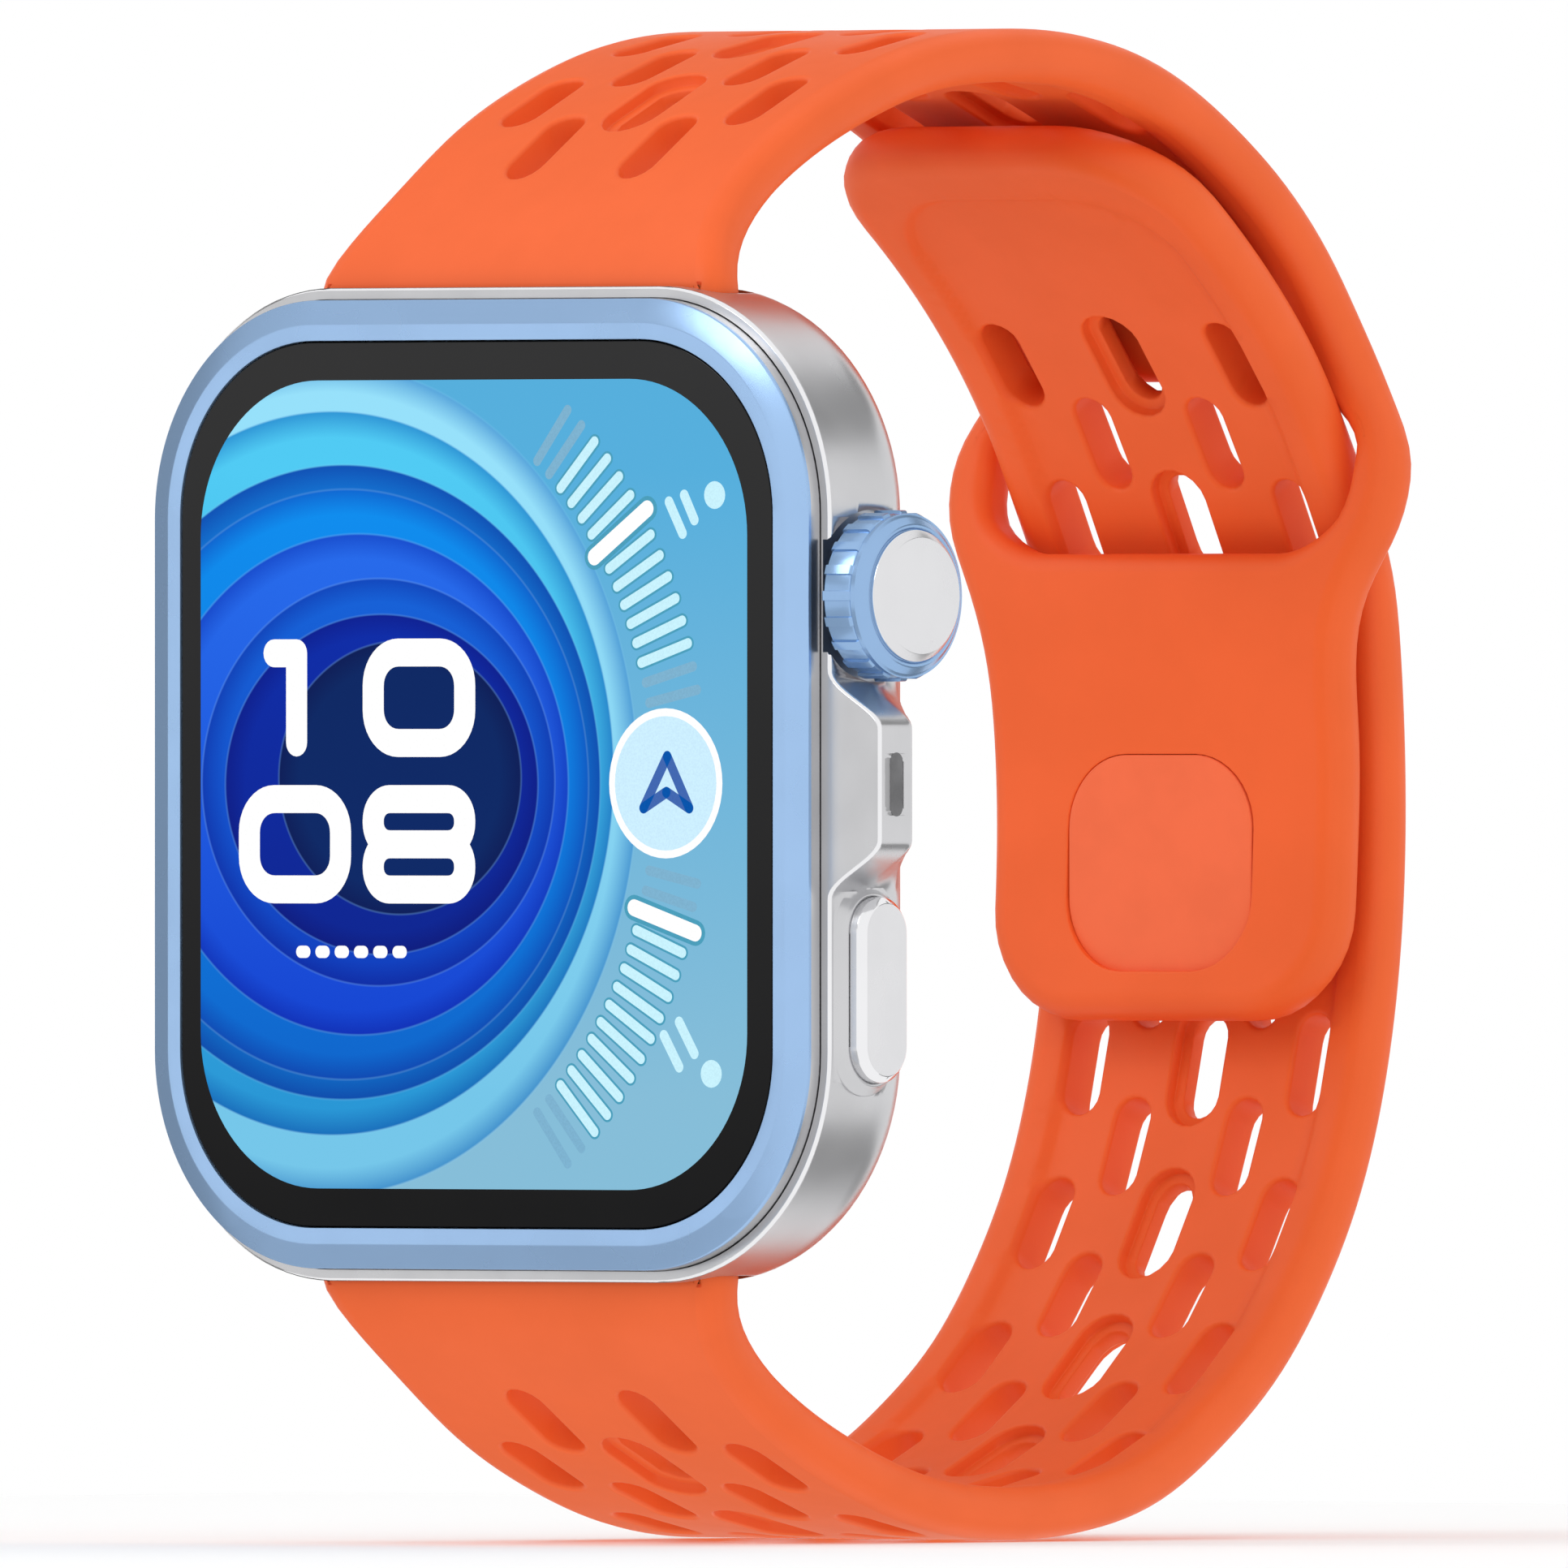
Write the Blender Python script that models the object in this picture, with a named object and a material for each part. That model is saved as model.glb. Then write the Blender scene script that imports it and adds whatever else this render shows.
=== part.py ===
"""GPS running watch, closed as on a wrist, built from its separate pieces.

X points to the crown side, Y from the screen to the wrist, Z to 12 o'clock.  The origin is the
centre of the rear lens's flat face.  All dimensions below are in millimetres.
"""
import math

import bmesh
import bpy
import numpy as np
from mathutils import Matrix, Vector

MM = 0.001
FIT = 0.3                     # gap between pieces that rest on each other
RUNNING = 0.05                # radial clearance of a shaft in its bore

# Case
CASE_WIDTH, CASE_HEIGHT, CASE_CORNER = 40.0, 44.5, 10.3
WATCH_DEPTH = 9.3
FRONT = -WATCH_DEPTH
CASE_FRONT = FRONT + 1.17
CASE_BACK = -1.46
BACK_ROUND, FRONT_EDGE = 3.0, 0.2
SEAT_FLOOR = -7.5             # bezel seat
CAVITY_LEDGE, CAVITY_FLOOR = -6.3, -3.4
CAVITY_WIDTH, CAVITY_HEIGHT, CAVITY_CORNER = 36.4, 36.8, 7.0
LOWER_HEIGHT, LOWER_CORNER = 33.2, 6.0
COVER_SEAT = -2.95
COVER_WIDTH, COVER_HEIGHT, COVER_CORNER = 33.4, 37.9, 7.0
BACK_OPENING = (30.4, 34.0, 6.0)
SCREW_X, SCREW_Z = 10.5, 17.5
SEAT_GAP = 0.12               # round the bezel in its seat
BOSS_SIZE, BOSS_HEIGHT = (3.8, 8.9), 0.2
STRAP_POCKET_HALF, STRAP_POCKET_FRONT, STRAP_POCKET_BACK = 12.3, -7.1, -3.75
STRAP_POCKET_DEPTH = 2.65
SCREW_HOLE_RADIUS, SCREW_HOLE_END = 0.55, -4.6
SPEAKER_Y, SPEAKER_Z = -5.0, -8.5
SIDE = CASE_WIDTH / 2
INNER_SIDE = CAVITY_WIDTH / 2
END = CASE_HEIGHT / 2

# Bezel and glass
BEZEL_WIDTH, BEZEL_HEIGHT, BEZEL_CORNER = 38.9, 43.4, 9.75
BEZEL_BACK, BEZEL_CHAMFER, GLASS_GAP = -7.98, 0.35, 0.08
GLASS_WIDTH, GLASS_HEIGHT, GLASS_CORNER = 35.1, 39.6, 7.85
GLASS_FRONT, GLASS_BACK = FRONT + 0.05, -8.3

# Crown guard beside the crown, with the microphone slot in it
GUARD_REACH = 2.96
GUARD_TOP, GUARD_BOTTOM, GUARD_SLOPE = 5.1, -5.1, 2.6
GUARD_FACE_BACK, GUARD_BACK = -5.9, -3.4
MIC_Y, MIC_LENGTH, MIC_WIDTH = -7.0, 2.85, 0.84

# Crown and side button
CROWN_Y, CROWN_Z = -5.2, 8.4
CROWN_RADIUS, CROWN_TEETH, TOOTH_HEIGHT = 3.82, 20, 0.18
CROWN_INNER, CROWN_SHOULDER, CROWN_FACE, CROWN_CAP_FACE = 20.25, 22.1, 22.45, 22.87
CROWN_RIM_RADIUS, CROWN_CAP_RADIUS, CROWN_CAP_FLAT = 3.12, 2.94, 2.82
CROWN_POCKET_RADIUS, CROWN_POCKET_FLOOR = 4.12, 19.6
STEM_RADIUS = 0.72
BUTTON_Y, BUTTON_Z = -5.68, -9.16
BUTTON_CAP = (3.3, 8.3)
BUTTON_FACE, BUTTON_POCKET_FLOOR = 21.25, 19.1
BUTTON_STEM_RADIUS = 0.6

# Rear
LENS_RADIUS, LENS_FACE_RADIUS, LENS_BACK = 11.6, 10.6, -2.2
COVER_FRONT = -2.3

# Straps: (y, z, half width) along the middle of the thickness, from the case to the free end
STRAP_THICKNESS, STRAP_EDGE = 2.4, 1.1
CHANNEL_HALF, CHANNEL_DEPTH = 7.6, 0.4
UPPER_ROUTE = [
    (-5.65, 20.9, 11.9), (-5.6, 21.7, 12.0), (-4.85, 23.4, 11.4), (-2.86, 25.6, 10.5),
    (0.96, 28.4, 10.25), (5.7, 30.65, 10.25), (10.8, 32.2, 10.25), (16.2, 32.75, 10.25),
    (21.7, 32.45, 10.25), (26.7, 31.1, 10.25), (31.0, 28.8, 10.25), (34.6, 26.1, 10.25),
    (37.3, 23.2, 10.3), (39.1, 20.4, 10.5), (39.85, 17.9, 11.4), (39.6, 15.6, 12.8),
    (39.05, 13.4, 13.26), (38.55, 11.2, 12.8), (38.3, 8.8, 11.55), (38.45, 5.9, 10.65),
    (38.85, 2.2, 10.45), (38.9, -3.0, 10.35), (38.6, -7.5, 10.3), (38.2, -10.7, 10.2)]
LOWER_ROUTE = [
    (-5.65, -20.9, 11.9), (-5.6, -21.7, 12.0), (-4.85, -23.4, 11.4), (-2.86, -25.6, 10.5),
    (0.96, -28.4, 10.25), (5.7, -30.65, 10.25), (10.8, -32.2, 10.25), (16.2, -32.75, 10.25),
    (21.7, -32.4, 10.25), (26.2, -31.2, 10.25), (30.1, -29.0, 10.25), (33.8, -26.1, 10.2),
    (36.8, -22.5, 10.2), (39.2, -18.4, 10.2), (40.8, -14.0, 10.2), (41.85, -9.0, 10.2),
    (42.35, -3.5, 10.2), (42.35, 1.5, 10.2), (42.05, 6.0, 10.2), (41.4, 9.7, 10.2),
    (39.9, 12.9, 10.2), (38.2, 16.0, 10.2), (36.2, 19.0, 10.25), (33.6, 22.0, 10.25),
    (30.7, 24.7, 10.25), (28.0, 26.8, 10.25), (24.4, 29.1, 10.25)]
TAIL_CORNER, TONGUE_CORNER = 6.0, 5.0
WINDOW_BOTTOM, WINDOW_TOP, WINDOW_HALF, WINDOW_CORNER = 10.1, 18.5, 10.8, 3.2
RELEASE_AT = 5.6              # along the strap from its end in the case
RELEASE_SIZE = (6.0, 2.4, 1.0)
PIN_Z, PIN_BASE = -3.6, (10.9, 9.9, 3.4)


def clear_scene():
    for obj in list(bpy.data.objects):
        bpy.data.objects.remove(obj, do_unlink=True)


def new_collection(name):
    collection = bpy.data.collections.new(name)
    bpy.context.scene.collection.children.link(collection)
    return collection


clear_scene()
PARTS = new_collection("gps_running_watch")
CUTTERS = new_collection("cutters")


def material(name, color, roughness, metallic=0.0, alpha=1.0):
    made = bpy.data.materials.new(name)
    made.use_nodes = True
    shader = made.node_tree.nodes["Principled BSDF"]
    shader.inputs["Base Color"].default_value = (*color, 1.0)
    shader.inputs["Roughness"].default_value = roughness
    shader.inputs["Metallic"].default_value = metallic
    shader.inputs["Alpha"].default_value = alpha
    return made


SILVER = ((0.78, 0.79, 0.80), 0.28, 1.0)
BLUE = ((0.36, 0.55, 0.83), 0.35, 0.6)
GLASS = ((0.01, 0.01, 0.012), 0.05)
SCREEN = ((0.01, 0.12, 0.45), 0.2)
ORANGE = ((0.86, 0.13, 0.025), 0.55)
STEEL = ((0.55, 0.56, 0.58), 0.3, 1.0)
BLACK = ((0.02, 0.02, 0.022), 0.5)
BOARD = ((0.02, 0.09, 0.05), 0.5)
GOLD = ((0.85, 0.62, 0.25), 0.25, 1.0)
CELL = ((0.12, 0.12, 0.14), 0.4)
RUBBER = ((0.04, 0.04, 0.045), 0.8)


# Building blocks -------------------------------------------------------------------------------

def finish(name, mesh, look=None):
    """Put a mesh in the scene: a part when it has a look, otherwise a cutter."""
    obj = bpy.data.objects.new(name, mesh)
    if look is None:
        CUTTERS.objects.link(obj)
        obj.hide_render = True
        obj.display_type = "WIRE"
    else:
        PARTS.objects.link(obj)
        mesh.materials.append(material(name, *look))
        mesh.shade_smooth()
        mesh.set_sharp_from_angle(angle=math.radians(35))
    return obj


def mesh_from(bm, name):
    bmesh.ops.recalc_face_normals(bm, faces=bm.faces[:])
    mesh = bpy.data.meshes.new(name)
    bm.to_mesh(mesh)
    bm.free()
    return mesh


def rounded_rectangle(width, height, corner, steps=6):
    """Outline points round a rectangle with round corners."""
    points = []
    corners = ((1, 1, 0), (-1, 1, 90), (-1, -1, 180), (1, -1, 270))
    for side_a, side_b, start in corners:
        for step in range(steps + 1):
            angle = math.radians(start + 90 * step / steps)
            points.append((side_a * (width / 2 - corner) + corner * math.cos(angle),
                           side_b * (height / 2 - corner) + corner * math.sin(angle)))
    return points


def pill(width, height, steps=6):
    """Outline of a slot with round ends, longer along its second direction."""
    points = []
    for side, start in ((1, 0), (-1, 180)):
        for step in range(steps + 1):
            angle = math.radians(start + 180 * step / steps)
            points.append((width / 2 * math.cos(angle),
                           side * (height - width) / 2 + width / 2 * math.sin(angle)))
    return points


def circle(radius, steps=24):
    return [(radius * math.cos(math.tau * k / steps), radius * math.sin(math.tau * k / steps))
            for k in range(steps)]


def flat_mesh(name, outlines, thickness):
    """A flat outline with holes as a filled 2D curve, made a welded mesh centred on its plane."""
    curve = bpy.data.curves.new(name, "CURVE")
    curve.dimensions = "2D"
    curve.fill_mode = "BOTH"
    curve.extrude = thickness / 2 * MM
    for outline in outlines:
        spline = curve.splines.new("POLY")
        spline.points.add(len(outline) - 1)
        for point, (across, up) in zip(spline.points, outline):
            point.co = (across * MM, up * MM, 0, 1)
        spline.use_cyclic_u = True
    guide = bpy.data.objects.new(name, curve)
    bpy.context.scene.collection.objects.link(guide)
    bpy.context.view_layer.update()
    evaluated = guide.evaluated_get(bpy.context.evaluated_depsgraph_get())
    mesh = bpy.data.meshes.new_from_object(evaluated)
    bpy.data.objects.remove(guide)
    bm = bmesh.new()
    bm.from_mesh(mesh)
    bmesh.ops.remove_doubles(bm, verts=bm.verts[:], dist=1e-7)
    bmesh.ops.dissolve_limit(bm, angle_limit=math.radians(0.5), verts=bm.verts[:],
                             edges=bm.edges[:])
    bmesh.ops.recalc_face_normals(bm, faces=bm.faces[:])
    bm.to_mesh(mesh)
    bm.free()
    return mesh


TO_FACE = Matrix.Rotation(math.radians(90), 4, "X")                  # flat outline into X-Z
TO_SIDE = Matrix.Rotation(math.radians(90), 4, "Z") @ TO_FACE        # flat outline into Y-Z


def place(mesh, turn, centre):
    mesh.transform(Matrix.Translation(Vector(centre) * MM) @ turn)


def plate(name, outlines, front, back, look=None, centre=(0.0, 0.0)):
    """A flat piece seen from the front, between two depths."""
    mesh = flat_mesh(name, outlines, back - front)
    place(mesh, TO_FACE, (centre[0], (front + back) / 2, centre[1]))
    return finish(name, mesh, look)


def side_plate(name, outlines, inner, outer, centre, look=None):
    """A flat piece seen from the crown side, between two X positions."""
    mesh = flat_mesh(name, outlines, outer - inner)
    place(mesh, TO_SIDE, ((inner + outer) / 2, centre[0], centre[1]))
    return finish(name, mesh, look)


def block(name, low, high, look=None, edge=0.0):
    """A box between two corners, its edges bevelled when edge is given."""
    bm = bmesh.new()
    bmesh.ops.create_cube(bm, size=1.0)
    size = [b - a for a, b in zip(low, high)]
    middle = [(a + b) / 2 for a, b in zip(low, high)]
    bmesh.ops.scale(bm, vec=Vector(size) * MM, verts=bm.verts[:])
    bmesh.ops.translate(bm, vec=Vector(middle) * MM, verts=bm.verts[:])
    if edge:
        bmesh.ops.bevel(bm, geom=bm.edges[:], offset=edge * MM, segments=1, affect="EDGES")
    return finish(name, mesh_from(bm, name), look)


def move_origin(obj, x, y, z):
    """Put an object's origin on its joint axis and keep the shape where it is."""
    point = Vector((x, y, z)) * MM
    obj.data.transform(Matrix.Translation(-point))
    obj.location = point


def bevel_rim(obj, depth, width, segments):
    """Round the rim of a plate that lies at one depth."""
    bm = bmesh.new()
    bm.from_mesh(obj.data)
    rim = [edge for edge in bm.edges
           if all(abs(vert.co.y - depth * MM) < 1e-6 for vert in edge.verts)
           and edge.calc_face_angle(0) > math.radians(60)]
    bmesh.ops.bevel(bm, geom=rim, offset=width * MM, segments=segments, affect="EDGES",
                    profile=0.5)
    bm.to_mesh(obj.data)
    bm.free()


def turned(name, profile, centre, look, along_x=True, steps=24):
    """A profile of (radius, position) turned about the X axis, or about Y."""
    bm = bmesh.new()
    chain = [bm.verts.new((radius * MM, 0, position * MM)) for radius, position in profile]
    on_axis = profile[0][0] == 0
    edges = [bm.edges.new(pair) for pair in zip(chain, chain[1:])]
    if not on_axis:
        edges.append(bm.edges.new((chain[-1], chain[0])))
    bmesh.ops.spin(bm, geom=chain + edges, cent=(0, 0, 0), axis=(0, 0, 1), steps=steps,
                   angle=math.tau, use_merge=False)
    bmesh.ops.remove_doubles(bm, verts=bm.verts[:], dist=1e-6)
    mesh = mesh_from(bm, name)
    if along_x:
        turn = Matrix.Rotation(math.radians(90), 4, "Y")
    else:
        turn = Matrix.Rotation(math.radians(-90), 4, "X")
    place(mesh, turn, centre)
    return finish(name, mesh, look)


def drum(name, radius, low, high, centre, look=None, bore=0.0, along_x=True, steps=24):
    """A disc, rod or tube between two positions along X or Y."""
    outlines = [circle(radius, steps)]
    if bore:
        outlines.append(circle(bore, steps))
    if along_x:
        return side_plate(name, outlines, low, high, centre, look)
    return plate(name, outlines, low, high, look, centre)


def ease(value):
    """0 to 1 with a level start and end."""
    value = min(1.0, max(0.0, value))
    return value * value * (3 - 2 * value)


def cut(obj, *cutters):
    for cutter in cutters:
        boolean = obj.modifiers.new(cutter.name, "BOOLEAN")
        boolean.object = cutter


def join(obj, *additions):
    for addition in additions:
        boolean = obj.modifiers.new(addition.name, "BOOLEAN")
        boolean.operation = "UNION"
        boolean.object = addition


# Case ------------------------------------------------------------------------------------------

def guard_outline():
    """The crown guard in the X-Z plane: a flat top with an S-shaped slope at each end."""
    steps = 8
    root = SIDE - 0.03
    slope = []
    for step in range(steps + 1):
        way = step / steps
        slope.append((root + (SIDE + GUARD_REACH - root) * ease(way), GUARD_SLOPE * way))
    top = [(reach, GUARD_TOP - drop) for reach, drop in slope]
    bottom = [(reach, GUARD_BOTTOM + drop) for reach, drop in reversed(slope)]
    return [(SIDE - 1.5, GUARD_TOP)] + top + bottom + [(SIDE - 1.5, GUARD_BOTTOM)]


def make_guard():
    """The guard keeps its full reach near the face and falls away to the case side behind."""
    step_back = 0.02
    guard = plate("guard_shape", [guard_outline()], CASE_FRONT + step_back, GUARD_FACE_BACK)
    bm = bmesh.new()
    bm.from_mesh(guard.data)
    rear = [face for face in bm.faces
            if all(abs(vert.co.y - GUARD_FACE_BACK * MM) < 1e-6 for vert in face.verts)]
    extruded = bmesh.ops.extrude_face_region(bm, geom=rear)
    bmesh.ops.delete(bm, geom=rear, context="FACES")
    low_reach = 0.15
    for vert in [item for item in extruded["geom"] if isinstance(item, bmesh.types.BMVert)]:
        vert.co.y = GUARD_BACK * MM
        past_side = vert.co.x - SIDE * MM
        if past_side > 0:
            vert.co.x = SIDE * MM + past_side * low_reach
    bm.to_mesh(guard.data)
    bm.free()
    return guard


def make_case():
    case = plate("case_body", [rounded_rectangle(CASE_WIDTH, CASE_HEIGHT, CASE_CORNER, 8)],
                 CASE_FRONT, CASE_BACK, SILVER)
    bevel_rim(case, CASE_BACK, BACK_ROUND, 4)
    bevel_rim(case, CASE_FRONT, FRONT_EDGE, 1)
    boss = side_plate("button_boss", [pill(*BOSS_SIZE)], SIDE - 1.5, SIDE + BOSS_HEIGHT,
                      (BUTTON_Y, BUTTON_Z))
    join(case, make_guard(), boss)
    past = 1.0
    cut(case,
        plate("bezel_seat", [rounded_rectangle(BEZEL_WIDTH + 2 * SEAT_GAP,
                                               BEZEL_HEIGHT + 2 * SEAT_GAP,
                                               BEZEL_CORNER + SEAT_GAP, 8)],
              CASE_FRONT - past, SEAT_FLOOR),
        plate("upper_cavity", [rounded_rectangle(CAVITY_WIDTH, CAVITY_HEIGHT, CAVITY_CORNER)],
              SEAT_FLOOR - past, CAVITY_LEDGE),
        plate("lower_cavity", [rounded_rectangle(CAVITY_WIDTH, LOWER_HEIGHT, LOWER_CORNER)],
              CAVITY_LEDGE - past, CAVITY_FLOOR),
        plate("back_opening", [rounded_rectangle(*BACK_OPENING)],
              CAVITY_FLOOR - past, CASE_BACK + past),
        plate("cover_seat", [rounded_rectangle(COVER_WIDTH + 0.2, COVER_HEIGHT + 0.2,
                                               COVER_CORNER + 0.1)],
              COVER_SEAT, CASE_BACK + past),
        drum("crown_pocket", CROWN_POCKET_RADIUS, CROWN_POCKET_FLOOR, SIDE + past,
             (CROWN_Y, CROWN_Z)),
        drum("crown_bore", 1.25, INNER_SIDE - past, SIDE, (CROWN_Y, CROWN_Z)),
        side_plate("button_pocket", [pill(BUTTON_CAP[0] + 0.2, BUTTON_CAP[1] + 0.2)],
                   BUTTON_POCKET_FLOOR, SIDE + past, (BUTTON_Y, BUTTON_Z)),
        drum("button_bore", 0.95, INNER_SIDE - past, SIDE - 0.5, (BUTTON_Y, BUTTON_Z)),
        side_plate("mic_slot", [pill(MIC_WIDTH, MIC_LENGTH)], SIDE + 0.4,
                   SIDE + GUARD_REACH + past, (MIC_Y, 0)),
        drum("mic_duct", 0.3, INNER_SIDE - past, SIDE + 0.8, (-6.7, 0), steps=12),
        side_plate("speaker_slot", [pill(1.0, 6.0)], -SIDE - past, 1 - INNER_SIDE,
                   (SPEAKER_Y, SPEAKER_Z)))
    for end in (1, -1):
        low, high = sorted((end * (END - STRAP_POCKET_DEPTH), end * (END + past)))
        cut(case, block(f"strap_pocket_{end}", (-STRAP_POCKET_HALF, STRAP_POCKET_FRONT, low),
                        (STRAP_POCKET_HALF, STRAP_POCKET_BACK, high)))
        for side in (1, -1):
            cut(case, drum(f"screw_hole_{side}_{end}", SCREW_HOLE_RADIUS, CAVITY_LEDGE - past,
                           SCREW_HOLE_END, (side * SCREW_X, end * SCREW_Z), along_x=False,
                           steps=12))


def make_front():
    bezel = plate("bezel_ring", [rounded_rectangle(BEZEL_WIDTH, BEZEL_HEIGHT, BEZEL_CORNER, 8),
                                 rounded_rectangle(GLASS_WIDTH + 2 * GLASS_GAP,
                                                   GLASS_HEIGHT + 2 * GLASS_GAP,
                                                   GLASS_CORNER + GLASS_GAP, 8)],
                  FRONT, BEZEL_BACK, BLUE)
    across, up = BEZEL_WIDTH / 2 - BEZEL_CORNER, BEZEL_HEIGHT / 2 - BEZEL_CORNER
    midway = (BEZEL_CORNER + GLASS_CORNER) / 2

    def on_outer_rim(vert):
        """Whether a vertex of the front face lies outside the middle of the bezel's ring."""
        past = Vector((max(0, abs(vert.co.x) / MM - across), max(0, abs(vert.co.z) / MM - up)))
        return abs(vert.co.y - FRONT * MM) < 1e-6 and past.length > midway

    bm = bmesh.new()
    bm.from_mesh(bezel.data)
    outer = [edge for edge in bm.edges if all(on_outer_rim(vert) for vert in edge.verts)
             and edge.calc_face_angle(0) > math.radians(60)]
    bmesh.ops.bevel(bm, geom=outer, offset=BEZEL_CHAMFER * MM, segments=1, affect="EDGES")
    bm.to_mesh(bezel.data)
    bm.free()
    plate("cover_glass", [rounded_rectangle(GLASS_WIDTH, GLASS_HEIGHT, GLASS_CORNER, 8)],
          GLASS_FRONT, GLASS_BACK, GLASS)
    plate("display_gasket", [rounded_rectangle(38.3, 42.8, 9.4), rounded_rectangle(36.8, 37.6, 7)],
          -7.86, -7.62, RUBBER)
    plate("display_panel", [rounded_rectangle(33.6, 36.4, 6.8)], -8.05, -7.25, SCREEN)


# Inside ----------------------------------------------------------------------------------------

def make_inside():
    chassis = plate("inner_chassis", [rounded_rectangle(CAVITY_WIDTH - 2 * FIT,
                                                        CAVITY_HEIGHT - 2 * FIT, 6.7)],
                    -6.95, -6.55, STEEL)
    number = 0
    for side in (1, -1):
        for end in (1, -1):
            number += 1
            spot = (side * SCREW_X, end * SCREW_Z)
            cut(chassis, drum(f"chassis_hole_{number}", SCREW_HOLE_RADIUS, -7.5, -6.0, spot, along_x=False,
                              steps=12))
            turned(f"chassis_screw_{number}",
                   [(0, -7.2), (0.85, -7.2), (0.85, -7.0), (0.4, -7.0), (0.4, -4.9), (0, -4.9)],
                   (spot[0], 0, spot[1]), STEEL, along_x=False, steps=12)
    block("main_board", (-15.0, -6.2, 2.5), (12.5, -5.6, 15.4), BOARD)
    block("shield_can", (-8.0, -5.3, 4.0), (8.0, -4.0, 14.0), STEEL, 0.2)
    block("battery", (-9.5, -6.1, -14.5), (11.0, -3.2, 1.6), CELL, 0.4)
    block("gps_antenna", (-12.0, -5.9, 15.75), (12.0, -3.9, 16.25), GOLD)
    block("speaker", (-17.7, -6.0, -12.4), (-12.5, -3.7, -4.0), BLACK, 0.3)
    side_plate("speaker_mesh", [pill(0.8, 5.8)], -19.7, -19.3, (SPEAKER_Y, SPEAKER_Z), STEEL)
    block("microphone", (16.2, -6.1, -1.5), (17.9, -5.1, 1.5), GOLD, 0.15)
    side_plate("mic_mesh", [pill(MIC_WIDTH - 0.06, MIC_LENGTH - 0.06)], 22.45, 22.85, (MIC_Y, 0),
               BLACK)
    make_haptic_motor()


def make_haptic_motor():
    """A tray with a sliding mass and a zigzag leaf spring at its upper end."""
    tray = block("haptic_housing", (12.0, -6.1, -14.0), (15.1, -3.5, -4.0), STEEL)
    cut(tray, block("haptic_hollow", (12.4, -5.8, -13.6), (14.7, -3.0, -4.4)))
    mass = block("haptic_mass", (12.6, -5.6, -12.8), (14.5, -3.8, -7.6), STEEL, 0.15)
    move_origin(mass, 13.55, -4.7, -10.2)
    leaf, turns = 0.3, 4
    left, right, bottom, top = 12.65, 14.15, -7.5, -4.6
    rows = [(left if turn % 2 else right, bottom + (top - bottom) * turn / turns)
            for turn in range(turns + 1)]
    outline = rows + [(x + leaf, z) for x, z in reversed(rows)]
    plate("haptic_spring", [outline], -5.4, -4.0, STEEL)


# Rear ------------------------------------------------------------------------------------------

def make_rear():
    plate("rear_gasket", [rounded_rectangle(33.0, 37.4, 6.8), rounded_rectangle(31.2, 35.6, 6.2)],
          -2.8, -2.45, RUBBER)
    cover = plate("rear_cover", [rounded_rectangle(COVER_WIDTH, COVER_HEIGHT, COVER_CORNER),
                                 circle(LENS_RADIUS + 0.15, 36)],
                  COVER_FRONT, CASE_BACK, BLACK)
    turned("rear_lens", [(0, -1.0), (9.8, -1.0), (9.8, LENS_BACK), (LENS_RADIUS, LENS_BACK),
                         (LENS_RADIUS, -1.2), (LENS_RADIUS - 0.25, -0.45),
                         (LENS_FACE_RADIUS, 0), (0, 0)], (0, 0, 0), BLACK, along_x=False,
           steps=36)
    drum("sensor_board", 9.2, -3.0, -2.6, (0, 0), BOARD, along_x=False)
    drum("optic_barrier", 3.7, -2.4, -1.2, (0, 0), BLACK, bore=3.1, along_x=False)
    block("light_emitter", (-1.1, -2.4, -1.1), (1.1, -1.6, 1.1), GOLD)
    for number, side in ((1, -1), (2, 1)):
        block(f"photodiode_{number}", (side * 6.0 - 1.2, -2.4, -1.2),
              (side * 6.0 + 1.2, -1.8, 1.2), BLACK)
        spot = (side * 2.6, -15.3)
        cut(cover, drum(f"contact_hole_{number}", 1.12, -3.5, 0, spot, along_x=False))
        drum(f"charging_contact_{number}", 1.0, -2.3, -1.4, spot, GOLD, along_x=False)


# Crown -----------------------------------------------------------------------------------------

def toothed_circle(tip, root):
    """An outline with narrow raised teeth between wide flats."""
    points = []
    tooth_share = 0.38
    for tooth in range(CROWN_TEETH):
        start = (tooth - tooth_share / 2) / CROWN_TEETH
        stop = (tooth + tooth_share / 2) / CROWN_TEETH
        for radius, turn in ((root, start), (tip, start), (tip, stop), (root, stop)):
            points.append((radius * math.cos(math.tau * turn), radius * math.sin(math.tau * turn)))
    return points


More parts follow.
